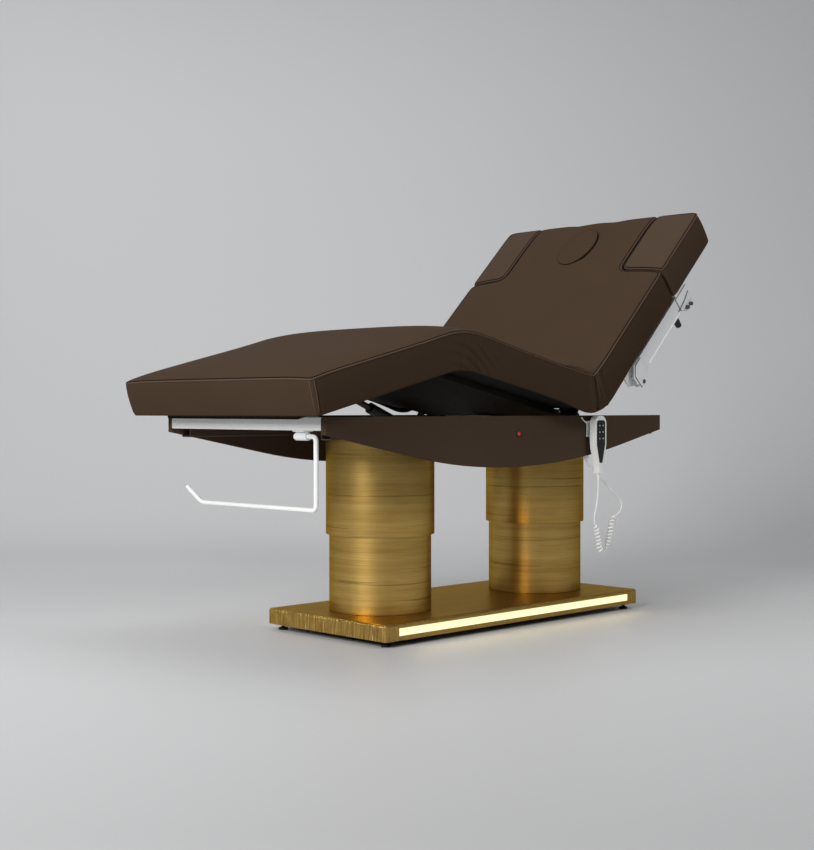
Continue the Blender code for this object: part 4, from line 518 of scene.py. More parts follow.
def crown(along, y):
    """Height of the mattress's top: domed, lower at the seam, squeezed up beside the crease and sunk in it."""
    ends = min(along - LEG_FOOT, HEAD_END - along)
    height = SEAM_H + CROWN_H * swell(y / TOP_HALF) * swell(1 - min(ends / 0.14, 1))
    away = along - CREASE
    height += 0.0045 * hill(abs(away) - 0.030, 0.016) - 0.006 * hill(away, 0.008)
    lid = math.hypot((along - face_u) / 0.097, y / 0.072)
    return height - 0.0036 * clip((1.7 - lid) / 0.6) * clip((ends - 0.010) / 0.035)


def rounder(u, v, centre, reach, fade):
    """Moves a point of a square mesh so that a square about the centre becomes an oval."""
    du, dv = (u - centre[0]) / reach[0], (v - centre[1]) / reach[1]
    square = max(abs(du), abs(dv))
    if square < 1e-6 or square > fade:
        return u, v
    share = min(1, (fade - square) / (fade - 1)) if square > 1 else 1
    factor = 1 + (square / math.hypot(du, dv) - 1) * share
    return centre[0] + du * factor * reach[0], centre[1] + dv * factor * reach[1]


def round_corner(u, v, corner, out, radius):
    """Rounds a corner of a plan; out is the corner's signs along and across, from inside the plan."""
    centre = (corner[0] - out[0] * radius, corner[1] - out[1] * radius)
    if (u - centre[0]) * out[0] > 0 and (v - centre[1]) * out[1] > 0:
        return rounder(u, v, centre, (radius, radius), 1.01)
    return u, v


def mattress_plan(u, v):
    """Rounds the face hole, the corners of the plan, and the notches beside the arm pads."""
    for side in (-1, 1):
        u, v = round_corner(u, v, (LEG_FOOT, side * TOP_HALF), (-1, side), 0.017)
        u, v = round_corner(u, v, (HEAD_END, side * PAD_INNER), (1, side), 0.017)
        if BACK_ZERO + 0.4 < u <= notch_u:
            u, v = round_corner(u, v, (notch_u, side * TOP_HALF), (1, side), 0.016)
    u, v = rounder(u, v, (face_u, 0), FACE[1:], 1.9)
    reach = PAD_CORNER + 0.0055
    centre = (notch_u + reach, math.copysign(PAD_INNER + reach, v))
    if u < centre[0] and abs(v) < abs(centre[1]):
        u, v = rounder(u, v, centre, (reach, reach), 2.2)
    return u, v


def cushion(us, vs, kept, plan, piece_of):
    """A closed pad on a plan of cells, carried along the path: its top, its walls down from the edge, its underside.

    Returns the mesh after subdivision, with each face's piece as its material number and the welted seams marked.
    """
    form = bmesh.new()
    layers = [form.verts.layers.float.new(word) for word in ("along", "high")]
    loops = {
        (i, j): [(i, j), (i + 1, j), (i + 1, j + 1), (i, j + 1)]
        for i in range(len(us) - 1) for j in range(len(vs) - 1)
        if kept((us[i] + us[i + 1]) / 2, (vs[j] + vs[j + 1]) / 2)
    }
    corners = sorted({corner for loop in loops.values() for corner in loop})
    flat = {(i, j): Vector(plan(us[i], vs[j])) for i, j in corners}

    def vertex(u, v, height, hung=0.0):
        made = form.verts.new(on_path(u, v, height - hung))
        made[layers[0]] = u
        made[layers[1]] = height
        return made

    leaving, coming = {}, {}
    for (i, j), loop in loops.items():
        for k, (di, dj) in enumerate(((0, -1), (1, 0), (0, 1), (-1, 0))):
            if (i + di, j + dj) not in loops:
                start, end = loop[k], loop[(k + 1) % 4]
                leaving[start], coming[end] = end, start
    rims = {}
    for corner, after in leaving.items():
        one = (flat[corner] - flat[coming[corner]]).normalized()
        two = (flat[after] - flat[corner]).normalized()
        out = Vector((one.y, -one.x)) + Vector((two.y, -two.x))
        rims[corner] = out / max(0.5, out.length_squared / 2)

    tops, lows, sides = {}, {}, {}
    for corner in corners:
        u, v = flat[corner]
        if corner in rims:
            drop, levels, rim = edge_walls(us[corner[0]], vs[corner[1]])
            out = rims[corner]
            rim = rim or crown(u, v) - drop
            tops[corner] = vertex(u - out.x * drop, v - out.y * drop, rim)
            sides[corner] = [
                vertex(u + out.x * away, v + out.y * away, rim * share, skirt(u) * (1 - share))
                for away, share in levels[:-1]
            ]
            away = levels[-1][0]
            lows[corner] = vertex(u + out.x * away, v + out.y * away, 0)
        else:
            tops[corner], lows[corner] = vertex(u, v, crown(u, v)), vertex(u, v, 0)
    for (i, j), loop in loops.items():
        number = piece_of((us[i] + us[i + 1]) / 2)
        form.faces.new([tops[c] for c in loop]).material_index = number
        form.faces.new([lows[c] for c in reversed(loop)]).material_index = number
    for start, end in leaving.items():
        number = piece_of((us[start[0]] + us[end[0]]) / 2)
        one, other = [[tops[c], *sides[c], lows[c]] for c in (start, end)]
        for k in range(len(one) - 1):
            form.faces.new((one[k], one[k + 1], other[k + 1], other[k])).material_index = number
        if all(at_seam(us[i], vs[j]) for i, j in (start, end)):
            form.edges.get((one[0], other[0])).seam = True
    bmesh.ops.recalc_face_normals(form, faces=form.faces)
    rough = bpy.data.meshes.new("rough")
    form.to_mesh(rough)
    form.free()
    holder = placed("rough", rough)
    smoothing = holder.modifiers.new("smoothing", "SUBSURF")
    smoothing.levels = smoothing.render_levels = 2
    bpy.context.view_layer.update()
    mesh = bpy.data.meshes.new_from_object(holder.evaluated_get(bpy.context.evaluated_depsgraph_get()))
    bpy.data.objects.remove(holder)
    bpy.data.meshes.remove(rough)
    return mesh


def spread(start, *stretches):
    """Values from start through (end, count) stretches."""
    values = [start]
    for end, count in stretches:
        begin = values[-1]
        values += [*(begin + (end - begin) * i / count for i in range(1, count)), end]
    return values


half_lines = spread(
    0, (FACE[2], 2), (0.12, 2), (0.225, 3), (PAD_INNER - 0.010, 1), (PAD_INNER, 1), (0.2845, 2), (0.36, 2), (0.385, 4),
    (0.4035, 4), (TOP_HALF, 1),
)
across = [-v for v in reversed(half_lines[1:])] + half_lines
SEAT_CUT = SEAT_SHIFT - 0.27
lengthwise = spread(
    LEG_FOOT, (LEG_FOOT + 0.0065, 1), (LEG_FOOT + 0.018, 1), (LEG_FOOT + 0.06, 2), (KNEE_MID - 0.12, 8),
    (KNEE_MID + 0.16, 26), (SEAT_CUT, 3), (CREASE - 0.14, 3), (CREASE - 0.02, 12), (CREASE, 4), (CREASE + 0.02, 4),
    (CREASE + 0.10, 7), (notch_u - 0.04, 6), (notch_u - 0.010, 2), (notch_u, 1), (notch_u + 0.0355, 2),
    (face_u - FACE[1], 2), (face_u + FACE[1], 6), (HEAD_END - 0.018, 2), (HEAD_END - 0.0065, 1), (HEAD_END, 1),
)


def in_mattress(u, v):
    """Whether a cell is in the mattress, which leaves out the face hole and the arm pads' corners."""
    if abs(u - face_u) < FACE[1] and abs(v) < FACE[2]:
        return False
    return not (u > notch_u and abs(v) > PAD_INNER)


def at_seam(u, v):
    """Whether a point of the edge is on a welted seam: all are but the face hole's."""
    return not (abs(u - face_u) < FACE[1] + 0.01 and abs(v) < FACE[2] + 0.01)


# How far the wall stands out from the seam, at shares of the seam's height.
SIDE_LEVELS = (
    (0.0008, 0.925), (0.0018, 0.76), (0.0008, 0.54), (-0.0012, 0.32), (-0.004, 0.13), (-0.006, 0.04), (-0.018, 0)
)
INNER_LEVELS = ((0, 0.90), (0, 0.76), (0, 0.55), (0, 0.33), (0, 0.15), (-0.001, 0.05), (-0.010, 0))
SHOULDER = 0.0035  # how far an inner edge's top is dropped and set back


def edge_walls(u, v):
    """How far an edge's top is dropped and set back, the levels of its wall, and its height where that is set."""
    if abs(v) <= TOP_HALF - 0.001 and LEG_FOOT + 0.001 <= u <= HEAD_END - 0.001:  # in the face hole or beside a pad
        return SHOULDER, INNER_LEVELS, None
    corner = hill(u - LEG_FOOT, 0.05) * hill(abs(v) - TOP_HALF, 0.05)
    return 0, SIDE_LEVELS, SEAM_H - 0.004 * corner


whole = cushion(lengthwise, across, in_mattress, mattress_plan, lambda u: (u > SEAT_CUT) + (u > CREASE))

# The leather's folds, pressed into the sides at the knee and the crease, and the tuck in the top beside the crease.
far, high = ([item.value for item in whole.attributes[word].data] for word in ("along", "high"))
normals = [vertex.normal.copy() for vertex in whole.vertices]
for vertex, u, h, normal in zip(whole.vertices, far, high, normals):
    y = vertex.co.y
    side = max(0.0, (abs(normal.y) - 0.4) / 0.6) if h < SEAM_H - 0.003 else 0.0
    push = 0.0
    knee, away = u - KNEE_MID, u - CREASE
    if side > 0:
        # folds dragged from above the knee down towards the seat's lower edge
        fall = 0.072 - 0.16 * (knee + 0.03) - 1.1 * max(0, knee + 0.03) ** 2 + 0.003 * math.copysign(1, y)
        drag = hill(math.sin((h - fall) * math.pi / 0.026), 0.45)
        window = hill(knee - 0.055, 0.095) * clip((0.082 - h) / 0.02) * min(1, h / 0.006)
        push += (0.0018 - 0.0062 * drag) * window * side
        # a short pleat or two under the hinge
        push -= 0.0035 * hill(knee + 0.012 - 0.1 * h, 0.007) * max(0, 1 - h / 0.055) * side
        # the pinch at the crease and the folds that fall from it
        spread_low = 1 - h / TOP_H
        push -= 0.0060 * hill(away, 0.006) * side
        push += 0.0030 * hill(away - 0.012 - 0.02 * spread_low, 0.007) * side
        push -= 0.0022 * hill(away - 0.030 - 0.03 * spread_low, 0.008) * side
        push += 0.0020 * hill(away + 0.014, 0.008) * side
    elif h > SEAM_H + 0.0008:
        edge = TOP_HALF - abs(y)
        if away < 0:
            # a roll of leather that runs along the seam into the tuck
            share = clip((away + 0.135) / 0.135)
            line = 0.007 + 0.018 * math.sin(math.pi * share**1.2)
            lift = math.sin(math.pi * share**1.4)
            push += 0.0095 * lift * hill(edge - line, 0.0085) - 0.0085 * lift * hill(edge - line - 0.0135, 0.0048)
        push -= 0.0085 * hill(away, 0.011) * hill(edge, 0.030)
        ripple = noise.noise(Vector((away * 22, y * 9, 3.7)))
        push += (0.0030 * hill(edge, 0.11) + 0.0012) * ripple * hill(away, 0.06)
    push += 0.0007 * noise.noise(Vector((u * 5, y * 5, h * 9))) * min(1, h / 0.02)
    vertex.co += normal * push


def seam_chains(mesh, number):
    """The welted seams' (point, normal) pairs in order, one list for each unbroken stretch on a piece's faces."""
    used = {tuple(sorted(key)) for face in mesh.polygons if face.material_index == number for key in face.edge_keys}
    links = {}
    for edge in mesh.edges:
        if edge.use_seam and tuple(sorted(edge.vertices)) in used:
            a, b = edge.vertices
            links.setdefault(a, []).append(b)
            links.setdefault(b, []).append(a)
    chains = []
    while links:
        start = next((v for v, near in sorted(links.items()) if len(near) == 1), min(links))
        chain = [start]
        while links.get(chain[-1]):
            after = links[chain[-1]].pop()
            links[after].remove(chain[-1])
            chain.append(after)
        links = {v: near for v, near in links.items() if near}
        chains.append([(mesh.vertices[i].co.copy(), mesh.vertices[i].normal.copy()) for i in chain])
    return chains


def skin_rings(form, rings):
    """Joins rings of points into a tube with flat ends."""
    for one, two in zip(rings, rings[1:]):
        for k in range(len(one)):
            form.faces.new((one[k - 1], one[k], two[k], two[k - 1]))
    form.faces.new(rings[0])
    form.faces.new(list(reversed(rings[-1])))


def tube_form(form, points, radius, sides=6):
    """Adds a round tube along points to a bmesh."""
    last = len(points) - 1
    ways = [(points[min(i + 1, last)] - points[max(i - 1, 0)]).normalized() for i in range(last + 1)]
    turns = [(math.cos(math.tau * k / sides), math.sin(math.tau * k / sides)) for k in range(sides)]
    out = ways[0].orthogonal().normalized()
    rings = []
    for point, way in zip(points, ways):
        out = (out - way * out.dot(way)).normalized()
        other = way.cross(out)
        rings.append([form.verts.new(point + (out * x + other * y) * radius) for x, y in turns])
    skin_rings(form, rings)


def stitch_line(form, points, radius):
    """Adds a thin dark tube in the form's second material: painted shade in the groove of a line of stitches."""
    known = len(form.faces)
    tube_form(form, points, radius)
    form.faces.ensure_lookup_table()
    for face in form.faces[known:]:
        face.material_index = 1


def stitched(form, chain):
    """Adds a seam: a welt along its (point, normal) pairs, and beside it on the top panel a dark sunk stitch line of
    painted shade.
    """
    tube_form(form, [point + normal * 0.0003 for point, normal in chain], 0.0024, 8)
    line = []
    for i, (point, normal) in enumerate(chain):
        along = (chain[min(i + 1, len(chain) - 1)][0] - chain[max(i - 1, 0)][0]).normalized()
        inward = along.cross(normal).normalized()
        if inward.z < 0:
            inward = -inward
        line.append(point + inward * 0.0040 - normal * 0.0002)
    stitch_line(form, line, 0.0018)


def part_of(mesh, number):
    """One piece of the whole mattress, with the whole's normals so that the cut between two pieces doesn't show."""
    faces = [list(p.vertices) for p in mesh.polygons if p.material_index == number]
    kept = sorted({i for face in faces for i in face})
    index = {old: new for new, old in enumerate(kept)}
    made = bpy.data.meshes.new("part")
    made.from_pydata([mesh.vertices[i].co for i in kept], [], [[index[i] for i in face] for face in faces])
    made.shade_smooth()
    made.normals_split_custom_set_from_vertices([mesh.vertices[i].normal for i in kept])
    high = mesh.attributes["high"].data
    for polygon in made.polygons:
        if all(high[kept[i]].value < 0.003 for i in polygon.vertices):
            polygon.material_index = 1
    return made


# The welts' leather is painted lighter than the top's: a painted highlight along each welt.
welt_leather_painted_highlight = leather("welt_leather_painted_highlight", (0.078, 0.048, 0.032), (0.105, 0.066, 0.045), 0.6, 0.1)
lining_cloth = coat(
    "black_dust_cloth", (0.006, 0.006, 0.006), (0.012, 0.011, 0.010), None, (900, 2), (0.8, 0.1), (0.0003, 0.4),
    Specular_IOR_Level=0.1,
)
# The stitched groove's near-black is painted shade: a dark tube laid where the groove beside each welt is in shade.
stitch_groove_painted_shade = coat(
    "stitched_groove_painted_shade", (0.008, 0.005, 0.004), (0.014, 0.009, 0.007), 300, (200, 3), (0.7, 0.1), Specular_IOR_Level=0.1
)
skin_tree = BVHTree.FromPolygons(
    [vertex.co for vertex in whole.vertices], [list(polygon.vertices) for polygon in whole.polygons]
)


def on_skin(points):
    """(point, normal) pairs of the mattress's skin nearest to the given places."""
    return [skin_tree.find_nearest(point)[:2] for point in points]


# Upright seams at the foot end's corners, and the two that fall from the crease's tuck.
upright = [[], [], []]
for side in (-1, 1):
    levels = [SEAM_H * (1 - i / 14) for i in range(14)]
    for u, v in ((LEG_FOOT - 0.004, TOP_HALF - 0.006), (LEG_FOOT + 0.010, TOP_HALF + 0.004)):
        upright[0].append(on_skin([on_path(u, side * v, height) for height in levels]))
    upright[1].append(on_skin([on_path(CREASE - 0.003, side * (TOP_HALF + 0.004), height) for height in levels]))
    upright[2].append(
        on_skin([on_path(CREASE + 0.003 + 0.10 * (SEAM_H - h), side * (TOP_HALF + 0.004), h) for h in levels[:12]])
    )


def mid_pad(line, along):
    """The middle of the pad over a place on a board's line."""
    point = spot(line, along, 0.06)
    return (point.x, 0, point.y)


UPRIGHT_WELT = 0.0015
beside = Vector((0.0034, 0, 0))
stretches = (
    (
        "leg_mattress", "leg", "seat", mid_pad(LEG_LINE, -0.09), mid_pad(SEAT_LINE, SEAT_KNEE + 0.09),
        ("leg_cushion", "knee_fold"),
    ),
    (
        "seat_mattress", "seat", "lift_frame", mid_pad(SEAT_LINE, seat_top - 0.12), mid_pad(SEAT_LINE, seat_top),
        ("seat_cushion", "crease_fold"),
    ),
    (
        "back_mattress", "lift_frame", "back", mid_pad(BACK_LINE, back_top), mid_pad(BACK_LINE, back_top + 0.065),
        ("back_cushion",),
    ),
)
for number, (name, body, other, start, end, nodes) in enumerate(stretches):
    pad = placed(name, part_of(whole, number), top_leather, lining_cloth)
    welts = bmesh.new()
    for chain in seam_chains(whole, number):
        stitched(welts, chain)
    for chain in upright[number]:
        tube_form(welts, [point for point, normal in chain], UPRIGHT_WELT)
        stitch_line(welts, [point + beside - normal * 0.0003 for point, normal in chain], UPRIGHT_WELT)
    welt = placed(name + "_welt", form_mesh(welts, 180), welt_leather_painted_highlight, stitch_groove_painted_shade)
    for piece in (pad, welt):
        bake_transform(piece)
    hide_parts(*nodes)

# ---- Arm pads: the corners of the head end, cut from the same foam and covered in the same leather, its colour painted
# a little lighter on them as painted light. Each is on its own lever, so that it swings down.
PAD_START, PAD_SIDE = 0.5345, 0.2545
pad_u = BACK_ZERO + PAD_START


def pad_plan(u, v):
    """Rounds the corners of the arm pads."""
    side = math.copysign(1, v)
    u, v = round_corner(u, v, (HEAD_END, side * TOP_HALF), (1, side), 0.024)
    u, v = round_corner(u, v, (HEAD_END, side * PAD_SIDE), (1, -side), 0.014)
    u, v = round_corner(u, v, (pad_u, side * TOP_HALF), (-1, side), 0.016)
    centre = (pad_u + PAD_CORNER, side * (PAD_SIDE + PAD_CORNER))
    if u < centre[0] and abs(v) < abs(centre[1]):
        return rounder(u, v, centre, (PAD_CORNER, PAD_CORNER), 1.01)
    return u, v


pad_us = spread(
    pad_u, (pad_u + 0.010, 1), (pad_u + PAD_CORNER, 2), (HEAD_END - 0.06, 6), (HEAD_END - 0.018, 2),
    (HEAD_END - 0.0065, 1), (HEAD_END, 1),
)
pad_vs = spread(
    PAD_SIDE, (PAD_SIDE + 0.010, 1), (PAD_SIDE + PAD_CORNER, 2), (0.37, 3), (0.392, 1), (0.4035, 1), (TOP_HALF, 1)
)
# The pads' leather is the top's painted a little lighter: painted light.
pad_leather_painted_light = leather("pad_leather_painted_light", (0.056, 0.0360, 0.0235), (0.073, 0.0475, 0.0320), sheen=0.02)
for name, side in SIDES.items():
    vs = pad_vs if side > 0 else [-v for v in reversed(pad_vs)]
    mesh = cushion(pad_us, vs, lambda u, v: True, pad_plan, lambda u: 0)
    pad = show("arm_rest_" + name, mesh, pad_leather_painted_light, "arm_" + name, "upholstery", "arm_pad_" + name)
    mesh.shade_smooth()
    welts = bmesh.new()
    for chain in seam_chains(mesh, 0):
        stitched(welts, chain)
    welt = show("arm_rest_welt_" + name, form_mesh(welts, 180), welt_leather_painted_highlight, "arm_" + name, "upholstery")
    welt.data.materials.append(stitch_groove_painted_shade)

# ---- Face plug: an oval leather-covered foam lid that closes the face hole. It is pushed in from above, and its
# welted lip lies on the back.
face_way = Vector((BACK_LINE[1].x, 0, BACK_LINE[1].y))
face_up = Vector((-face_way.z, 0, face_way.x))
face_place = spot(BACK_LINE, FACE[0], 0)
face_foot = Vector((face_place.x, 0, face_place.y))
# The lid's rings from its underside over the welted lip: height above the pad's underside, half length, half width.
plug_rings = (
    (0.066, 0.078, 0.053), (0.0605, 0.0850, 0.0600), (0.100, 0.0862, 0.0612), (0.1170, 0.0865, 0.0615),
    (0.1192, 0.0895, 0.0645), (0.1204, 0.0918, 0.0668), (0.1222, 0.0932, 0.0682), (0.1240, 0.0926, 0.0676),
    (0.1248, 0.0907, 0.0657), (0.1240, 0.0888, 0.0638), (0.1226, 0.0874, 0.0624), (0.1230, 0.0850, 0.0600),
    (0.1238, 0.0790, 0.0545), (0.1246, 0.0600, 0.0410), (0.1250, 0.0400, 0.0270), (0.1251, 0.0200, 0.0140),
)
form = bmesh.new()
rings = []
for height, length, width in plug_rings:
    middle = face_foot + face_up * height
    turns = [math.tau * k / 72 for k in range(72)]
    rings.append([
        form.verts.new(middle + face_way * length * math.cos(turn) + Vector((0, width * math.sin(turn), 0)))
        for turn in turns
    ])
skin_rings(form, rings)
plug = show("face_lid", form_mesh(form, 75), top_leather, "face_plug", "upholstery", "face_plug")

# ---- Arm levers: folded sheet in light grey powder coat. On its outer face each has a doubling plate at the pivot and at
# the latch, a rolled lower lip, dull zinc bolts and the wire that pulls the latch. A dark zinc plate a little larger
# than each doubling plate lies under it, and its rim is a painted shadow line round the plate.
grey_coat = coat("grey_powder_coat", (0.80, 0.80, 0.805), (0.90, 0.90, 0.905), 5, (380, 2), (0.34, 0.14), (0.0003, 0.3))
dress(grey_coat, *(f"arm_{part}_{side}" for part in ("quadrant", "channel") for side in SIDES))
dull_zinc_and_painted_shadow = coat("dull_zinc_and_painted_shadow", (0.07, 0.07, 0.072), (0.13, 0.13, 0.133), None, (160, 2), (0.42, 0.2), Metallic=0.5)
LEVER_FACE = 0.398  # how far from the middle the levers' outer faces are
LEVER_TOP, LEVER_LOW = -0.026, -0.074
LEVER_BOLT = 0.0065


def lump(form, side, inner, outer, outline):
    """A flat solid on a lever's outer face, from its outline along the back and under it."""
    corners = []
    for out in (inner, outer):
        for along, height in outline:
            x, z = spot(BACK_LINE, along, height)
            corners.append(form.verts.new((x, side * out, z)))
    bmesh.ops.convex_hull(form, input=corners)


pivot_plate = ((0.206, -0.052), (0.230, -0.028), (0.262, -0.028), (0.262, -0.074), (0.238, -0.099), (0.208, -0.099))
latch_plate = ((0.536, LEVER_TOP), (0.610, LEVER_TOP), (0.610, LEVER_LOW), (0.536, LEVER_LOW))
for name, side in SIDES.items():
    plates, zinc_parts_and_shadow_rims = bmesh.new(), bmesh.new()
    for outline in (pivot_plate, latch_plate):
        middle = sum((Vector(corner) for corner in outline), Vector((0, 0))) / len(outline)
        # Each doubling plate's outline grown by 6 %, for the dark plate under it whose rim is a painted shadow line.
        rim = [middle + (Vector(corner) - middle) * 1.06 for corner in outline]
        lump(zinc_parts_and_shadow_rims, side, LEVER_FACE - 0.0005, LEVER_FACE + 0.0012, rim)
        lump(plates, side, LEVER_FACE + 0.0010, LEVER_FACE + 0.0034, outline)
    for along, height in ((0.224, -0.091), (0.570, -0.087), (0.592, -0.091)):
        turns = [math.tau * i / 16 for i in range(16)]
        ring = [(along + LEVER_BOLT * math.cos(turn), height + LEVER_BOLT * math.sin(turn)) for turn in turns]
        lump(zinc_parts_and_shadow_rims, side, LEVER_FACE - 0.005, LEVER_FACE + LEVER_BOLT, ring)
    lip = [spot(BACK_LINE, along, LEVER_LOW) for along in (0.290, 0.534)]
    tube_form(plates, [Vector((x, side * LEVER_FACE, z)) for x, z in lip], 0.0026, 8)
    wire = [spot(BACK_LINE, along, height) for along, height in ((0.604, -0.046), (0.572, -0.056), (0.520, -0.062))]
    tube_form(zinc_parts_and_shadow_rims, [Vector((x, side * (LEVER_FACE + 0.0045), z)) for x, z in wire], 0.0016, 8)
    show("lever_plates_" + name, form_mesh(plates), grey_coat, "arm_" + name, "grey_steel")
    show("lever_zinc_parts_and_shadow_rims_" + name, form_mesh(zinc_parts_and_shadow_rims), dull_zinc_and_painted_shadow, "arm_" + name, "zinc_steel")

# ---- Stop button: a glossy red moulded cap that is pressed to stop the motors. Its black bezel is set in the left
# side panel.
dress(
    coat("red_button", (0.80, 0.030, 0.028), (0.90, 0.040, 0.036), 60, (300, 3), (0.3, 0.1), Coat_Weight=0.4),
    "stop_button",
)

# ---- Hand control: a white shell moulded in two halves that hangs on the wire hook. Its front has a glossy black
# keypad with six keys.
KEYS = range(1, 7)
dress(
    coat("white_moulding", (0.90, 0.90, 0.89), (0.95, 0.95, 0.94), 30, (900, 2), (0.28, 0.1), (0.0001, 0.3)),
    "handset_shell", "cord_gland",
)
dress(
    coat("keypad_film", (0.008, 0.008, 0.009), (0.014, 0.014, 0.016), 80, (500, 3), (0.22, 0.1), Coat_Weight=0.5),
    "handset_keypad", *(f"handset_key_{number}" for number in KEYS),
)
ink_finish = coat("pale_print", (0.60, 0.60, 0.58), (0.68, 0.68, 0.66), 200, (400, 3), (0.5, 0.1))
for number in KEYS:
    low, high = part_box(f"handset_key_{number}")
    middle, half = (low + high) / 2, (high.z - low.z) * 0.22
    point = half if number % 2 else -half  # the left key of a pair raises its part, the right key lowers it
    form = bmesh.new()
    outline = [(-half, -point * 0.6), (half, -point * 0.6), (0, point)]
    form.faces.new([form.verts.new((middle.x + x, low.y - 0.00015, middle.z + z)) for x, z in outline])
    show(f"key_arrow_{number}", form_mesh(form), ink_finish, f"handset_key_{number}", "keypad_film")

# ---- Curly cord: a 5 mm lead that leaves the gland under the panel, hangs in two coiled loops and enters the
# strain relief under the hand control.
CORD_WIDTH = 0.005
CURL_RADIUS = 0.0075
CURL_PITCH = 0.011
CORD_STEPS = 24
CORD_START = Vector((312.98304, -334.75, 505.60152)) * 0.001
CORD_END = Vector((322.651, -373.0, 438.7)) * 0.001
GLAND_LEAN = 0.1459173  # the gland's lean from upright: it stands square to the panel's curved lower edge
# The route's places in millimetres, and whether the cord is curled there.
CORD_ROUTE = (
    (315.151, -336, 492, 0), (321.651, -343, 483, 0), (336.651, -353, 470, 0), (351.651, -358, 452, 0),
    (369.651, -364, 432, 0), (392.651, -370, 408, 0), (423.651, -372, 387, 0), (441.651, -372, 367, 0),
    (438.651, -372, 345, 0), (416.651, -372, 330, 0), (398.651, -372, 318, 1), (389.651, -372, 298, 1),
    (382.651, -372, 270, 1), (372.651, -372, 245, 1), (361.651, -372, 226, 0), (345.651, -372, 218, 0),
    (330.651, -372, 231, 1), (323.651, -372, 262, 1), (315.651, -372, 292, 1), (306.651, -372, 311, 0),
    (305.651, -372, 332, 0), (313.151, -373, 360, 0), (319.651, -373, 391, 0), (322.651, -373, 415, 0),
)
down = Vector((math.sin(GLAND_LEAN), 0, -math.cos(GLAND_LEAN)))
stops = [CORD_START, CORD_START + down * CORD_WIDTH, *(Vector(stop[:3]) * 0.001 for stop in CORD_ROUTE)]
stops += [CORD_END - Vector((0, 0, CORD_WIDTH)), CORD_END]
curled = [0, 0, *(stop[3] for stop in CORD_ROUTE), 0, 0]


def smooth(points, count):
    """Points along a smooth curve through the given ones."""
    ends = [2 * points[0] - points[1], *points, 2 * points[-1] - points[-2]]
    curve = []
    for before, a, b, after in zip(ends, ends[1:], ends[2:], ends[3:]):
        for i in range(count):
            t = i / count
            curve.append(
                0.5 * (2 * a + (b - before) * t + (2 * before - 5 * a + 4 * b - after) * t**2
                       + (3 * a - before - 3 * b + after) * t**3)
            )
    return [*curve, points[-1]]


centre = smooth(stops, CORD_STEPS)
cord_points = [centre[0]]
phase, since = 0.0, 0.0
side_way = Vector((0, 1, 0))
for i in range(1, len(centre)):
    span, part = divmod(i, CORD_STEPS)
    after = min(span + 1, len(curled) - 1)
    amount = curled[span] + (curled[after] - curled[span]) * part / CORD_STEPS
    amount = amount * amount * (3 - 2 * amount)
    step = (centre[i] - centre[i - 1]).length
    pieces = 4 if amount > 0 else 1
    for k in range(1, pieces + 1):
        point = centre[i - 1].lerp(centre[i], k / pieces)
        since += step / pieces
        phase += math.tau * step / pieces / CURL_PITCH if amount > 0 else 0.0
        spacing = CURL_PITCH / 20 if amount > 0 else CORD_WIDTH
        if since < spacing and i < len(centre) - 1:
            continue
        since = 0.0
        along_cord = (centre[min(i + 1, len(centre) - 1)] - centre[i - 1]).normalized()
        out_way = along_cord.cross(side_way).normalized()
        swing = side_way * math.cos(phase) + out_way * math.sin(phase)
        cord_points.append(point + swing * CURL_RADIUS * amount)
cord_points[-1] = CORD_END
form = bmesh.new()
tube_form(form, cord_points, CORD_WIDTH / 2, 10)
cord_finish = coat("cord_jacket", (0.92, 0.92, 0.91), (0.96, 0.96, 0.95), 40, (700, 2), (0.42, 0.15), (0.0001, 0.3))
lead = placed("curly_lead", form_mesh(form, 180), cord_finish)
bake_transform(lead)
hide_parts("hand_cord")
cord_length = sum((b - a).length for a, b in zip(cord_points, cord_points[1:]))

# ---- Studio: a pale painted floor that curves up into a grey backdrop. The key light comes from the camera's left,
# and two long lamps add the glow of the light strips on the floor.
STUDIO_TURN = 2.1  # the floor's length behind the table, away from the camera
STUDIO_ROUND = 2.4
STUDIO_TOP = 9.0
STUDIO_REACH = 40  # to either side and towards the camera
form = bmesh.new()
away_way, right_way = Vector((0.70711, 0.70711, 0)), Vector((0.70711, -0.70711, 0))
sweep = [(-STUDIO_REACH, 0.0), (0.0, 0.0), (STUDIO_TURN, 0.0)]
for i in range(1, 25):
    angle = math.pi / 2 * i / 24
    sweep.append((STUDIO_TURN + STUDIO_ROUND * math.sin(angle), STUDIO_ROUND * (1 - math.cos(angle))))
sweep.append((STUDIO_TURN + STUDIO_ROUND, STUDIO_TOP))
edges = (right_way * -STUDIO_REACH, right_way * STUDIO_REACH)
rows = [[form.verts.new(away_way * away + edge + Vector((0, 0, height))) for edge in edges] for away, height in sweep]
for one, two in zip(rows, rows[1:]):
    form.faces.new((one[0], one[1], two[1], two[0]))
floor = placed("studio_floor", form_mesh(form, 80))
floor_with_painted_light = Finish("floor_paint_with_painted_light", Specular_IOR_Level=0.35)
turned_place = floor_with_painted_light.place(turn=(0, 0, math.radians(-45)))
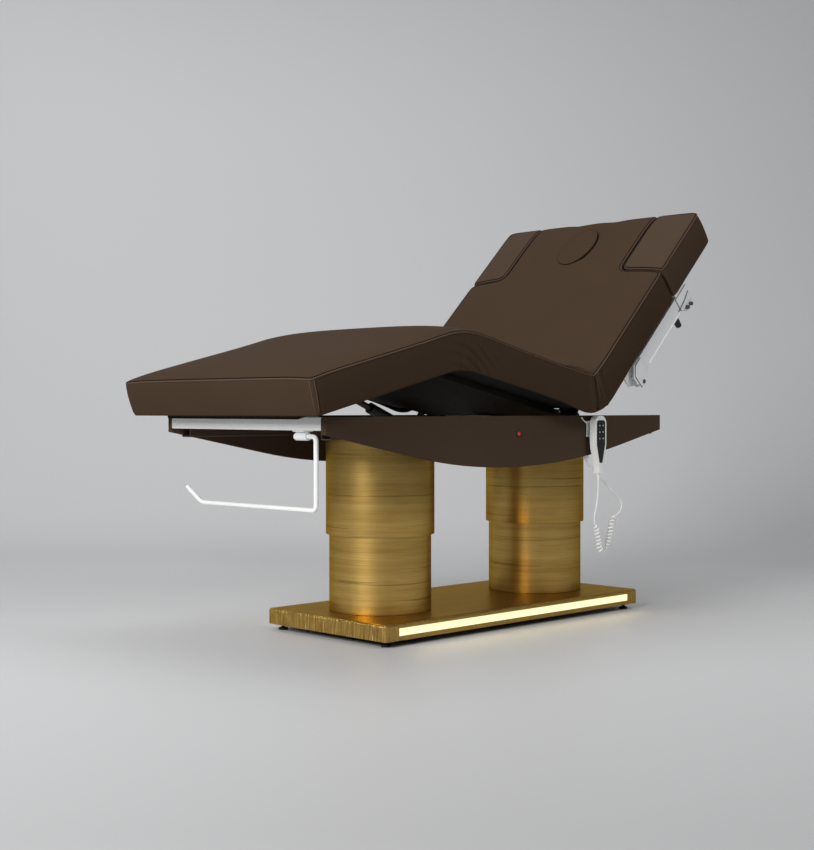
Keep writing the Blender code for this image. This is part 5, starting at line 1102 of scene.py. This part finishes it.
floor_spot = floor_with_painted_light.node("ShaderNodeSeparateXYZ", {}, {0: turned_place})
away = Value(floor_with_painted_light, floor_spot.outputs["X"]) * 0.125 + 0.375  # from 3 m before the table to 5 m behind it
# The floor's grey is painted light and shade: 0.60 under the table, falling to 0.42 towards the camera, dipping just
# behind the table and rising to 0.66 up the backdrop.
shades = ((0.10, 0.42), (0.256, 0.55), (0.38, 0.60), (0.509, 0.545), (0.60, 0.56), (0.725, 0.63), (0.94, 0.66))
floor.data.materials.append(
    floor_with_painted_light.finished(
        Base_Color=floor_with_painted_light.ramp(away, [(place, (grey, grey * 1.003, grey * 1.012)) for place, grey in shades]),
        Roughness=0.50 + floor_with_painted_light.clouds(30) * 0.05,
    )
)

world = bpy.data.worlds.new("studio")
bpy.context.scene.world = world
world.use_nodes = True
background = world.node_tree.nodes["Background"]
background.inputs["Color"].default_value = (0.60, 0.61, 0.62, 1)
background.inputs["Strength"].default_value = 0.36

for name, place, aim, size, power, tint in (
    ("key_window", (-5.0, -0.9, 2.8), (0, 0, 0.6), (1.8, 2.4), 248, (1, 1, 1)),
    ("overhead", (0.2, 0.5, 4.2), (0, 0, 0), (3.0, 3.0), 58, (1, 1, 1)),
    ("right_window", (0.2, -3.4, 3.3), (0.35, -0.3, 0.8), (1.1, 1.1), 38, (1, 1, 1)),
    ("backdrop_wash", (-1.2, 3.6, 3.4), (2.0, 4.4, 1.6), (2.0, 2.0), 22, (1, 1, 1)),
    ("led_glow_left", (0.12, -0.285, 0.055), (0.12, -0.60, 0.0), (1.0, 0.02), 0.22, (1, 0.80, 0.42)),
    ("led_glow_right", (0.12, 0.285, 0.055), (0.12, 0.60, 0.0), (1.0, 0.02), 0.22, (1, 0.80, 0.42)),
):
    lamp = bpy.data.objects.new(name, bpy.data.lights.new(name, "AREA"))
    lamp.data.shape = "RECTANGLE"
    lamp.data.size, lamp.data.size_y = size
    lamp.data.energy = power
    lamp.data.color = tint
    lamp.location = place
    lamp.rotation_euler = (Vector(aim) - Vector(place)).to_track_quat("-Z", "Y").to_euler()
    bpy.context.scene.collection.objects.link(lamp)

bpy.context.scene.view_settings.view_transform = "Standard"
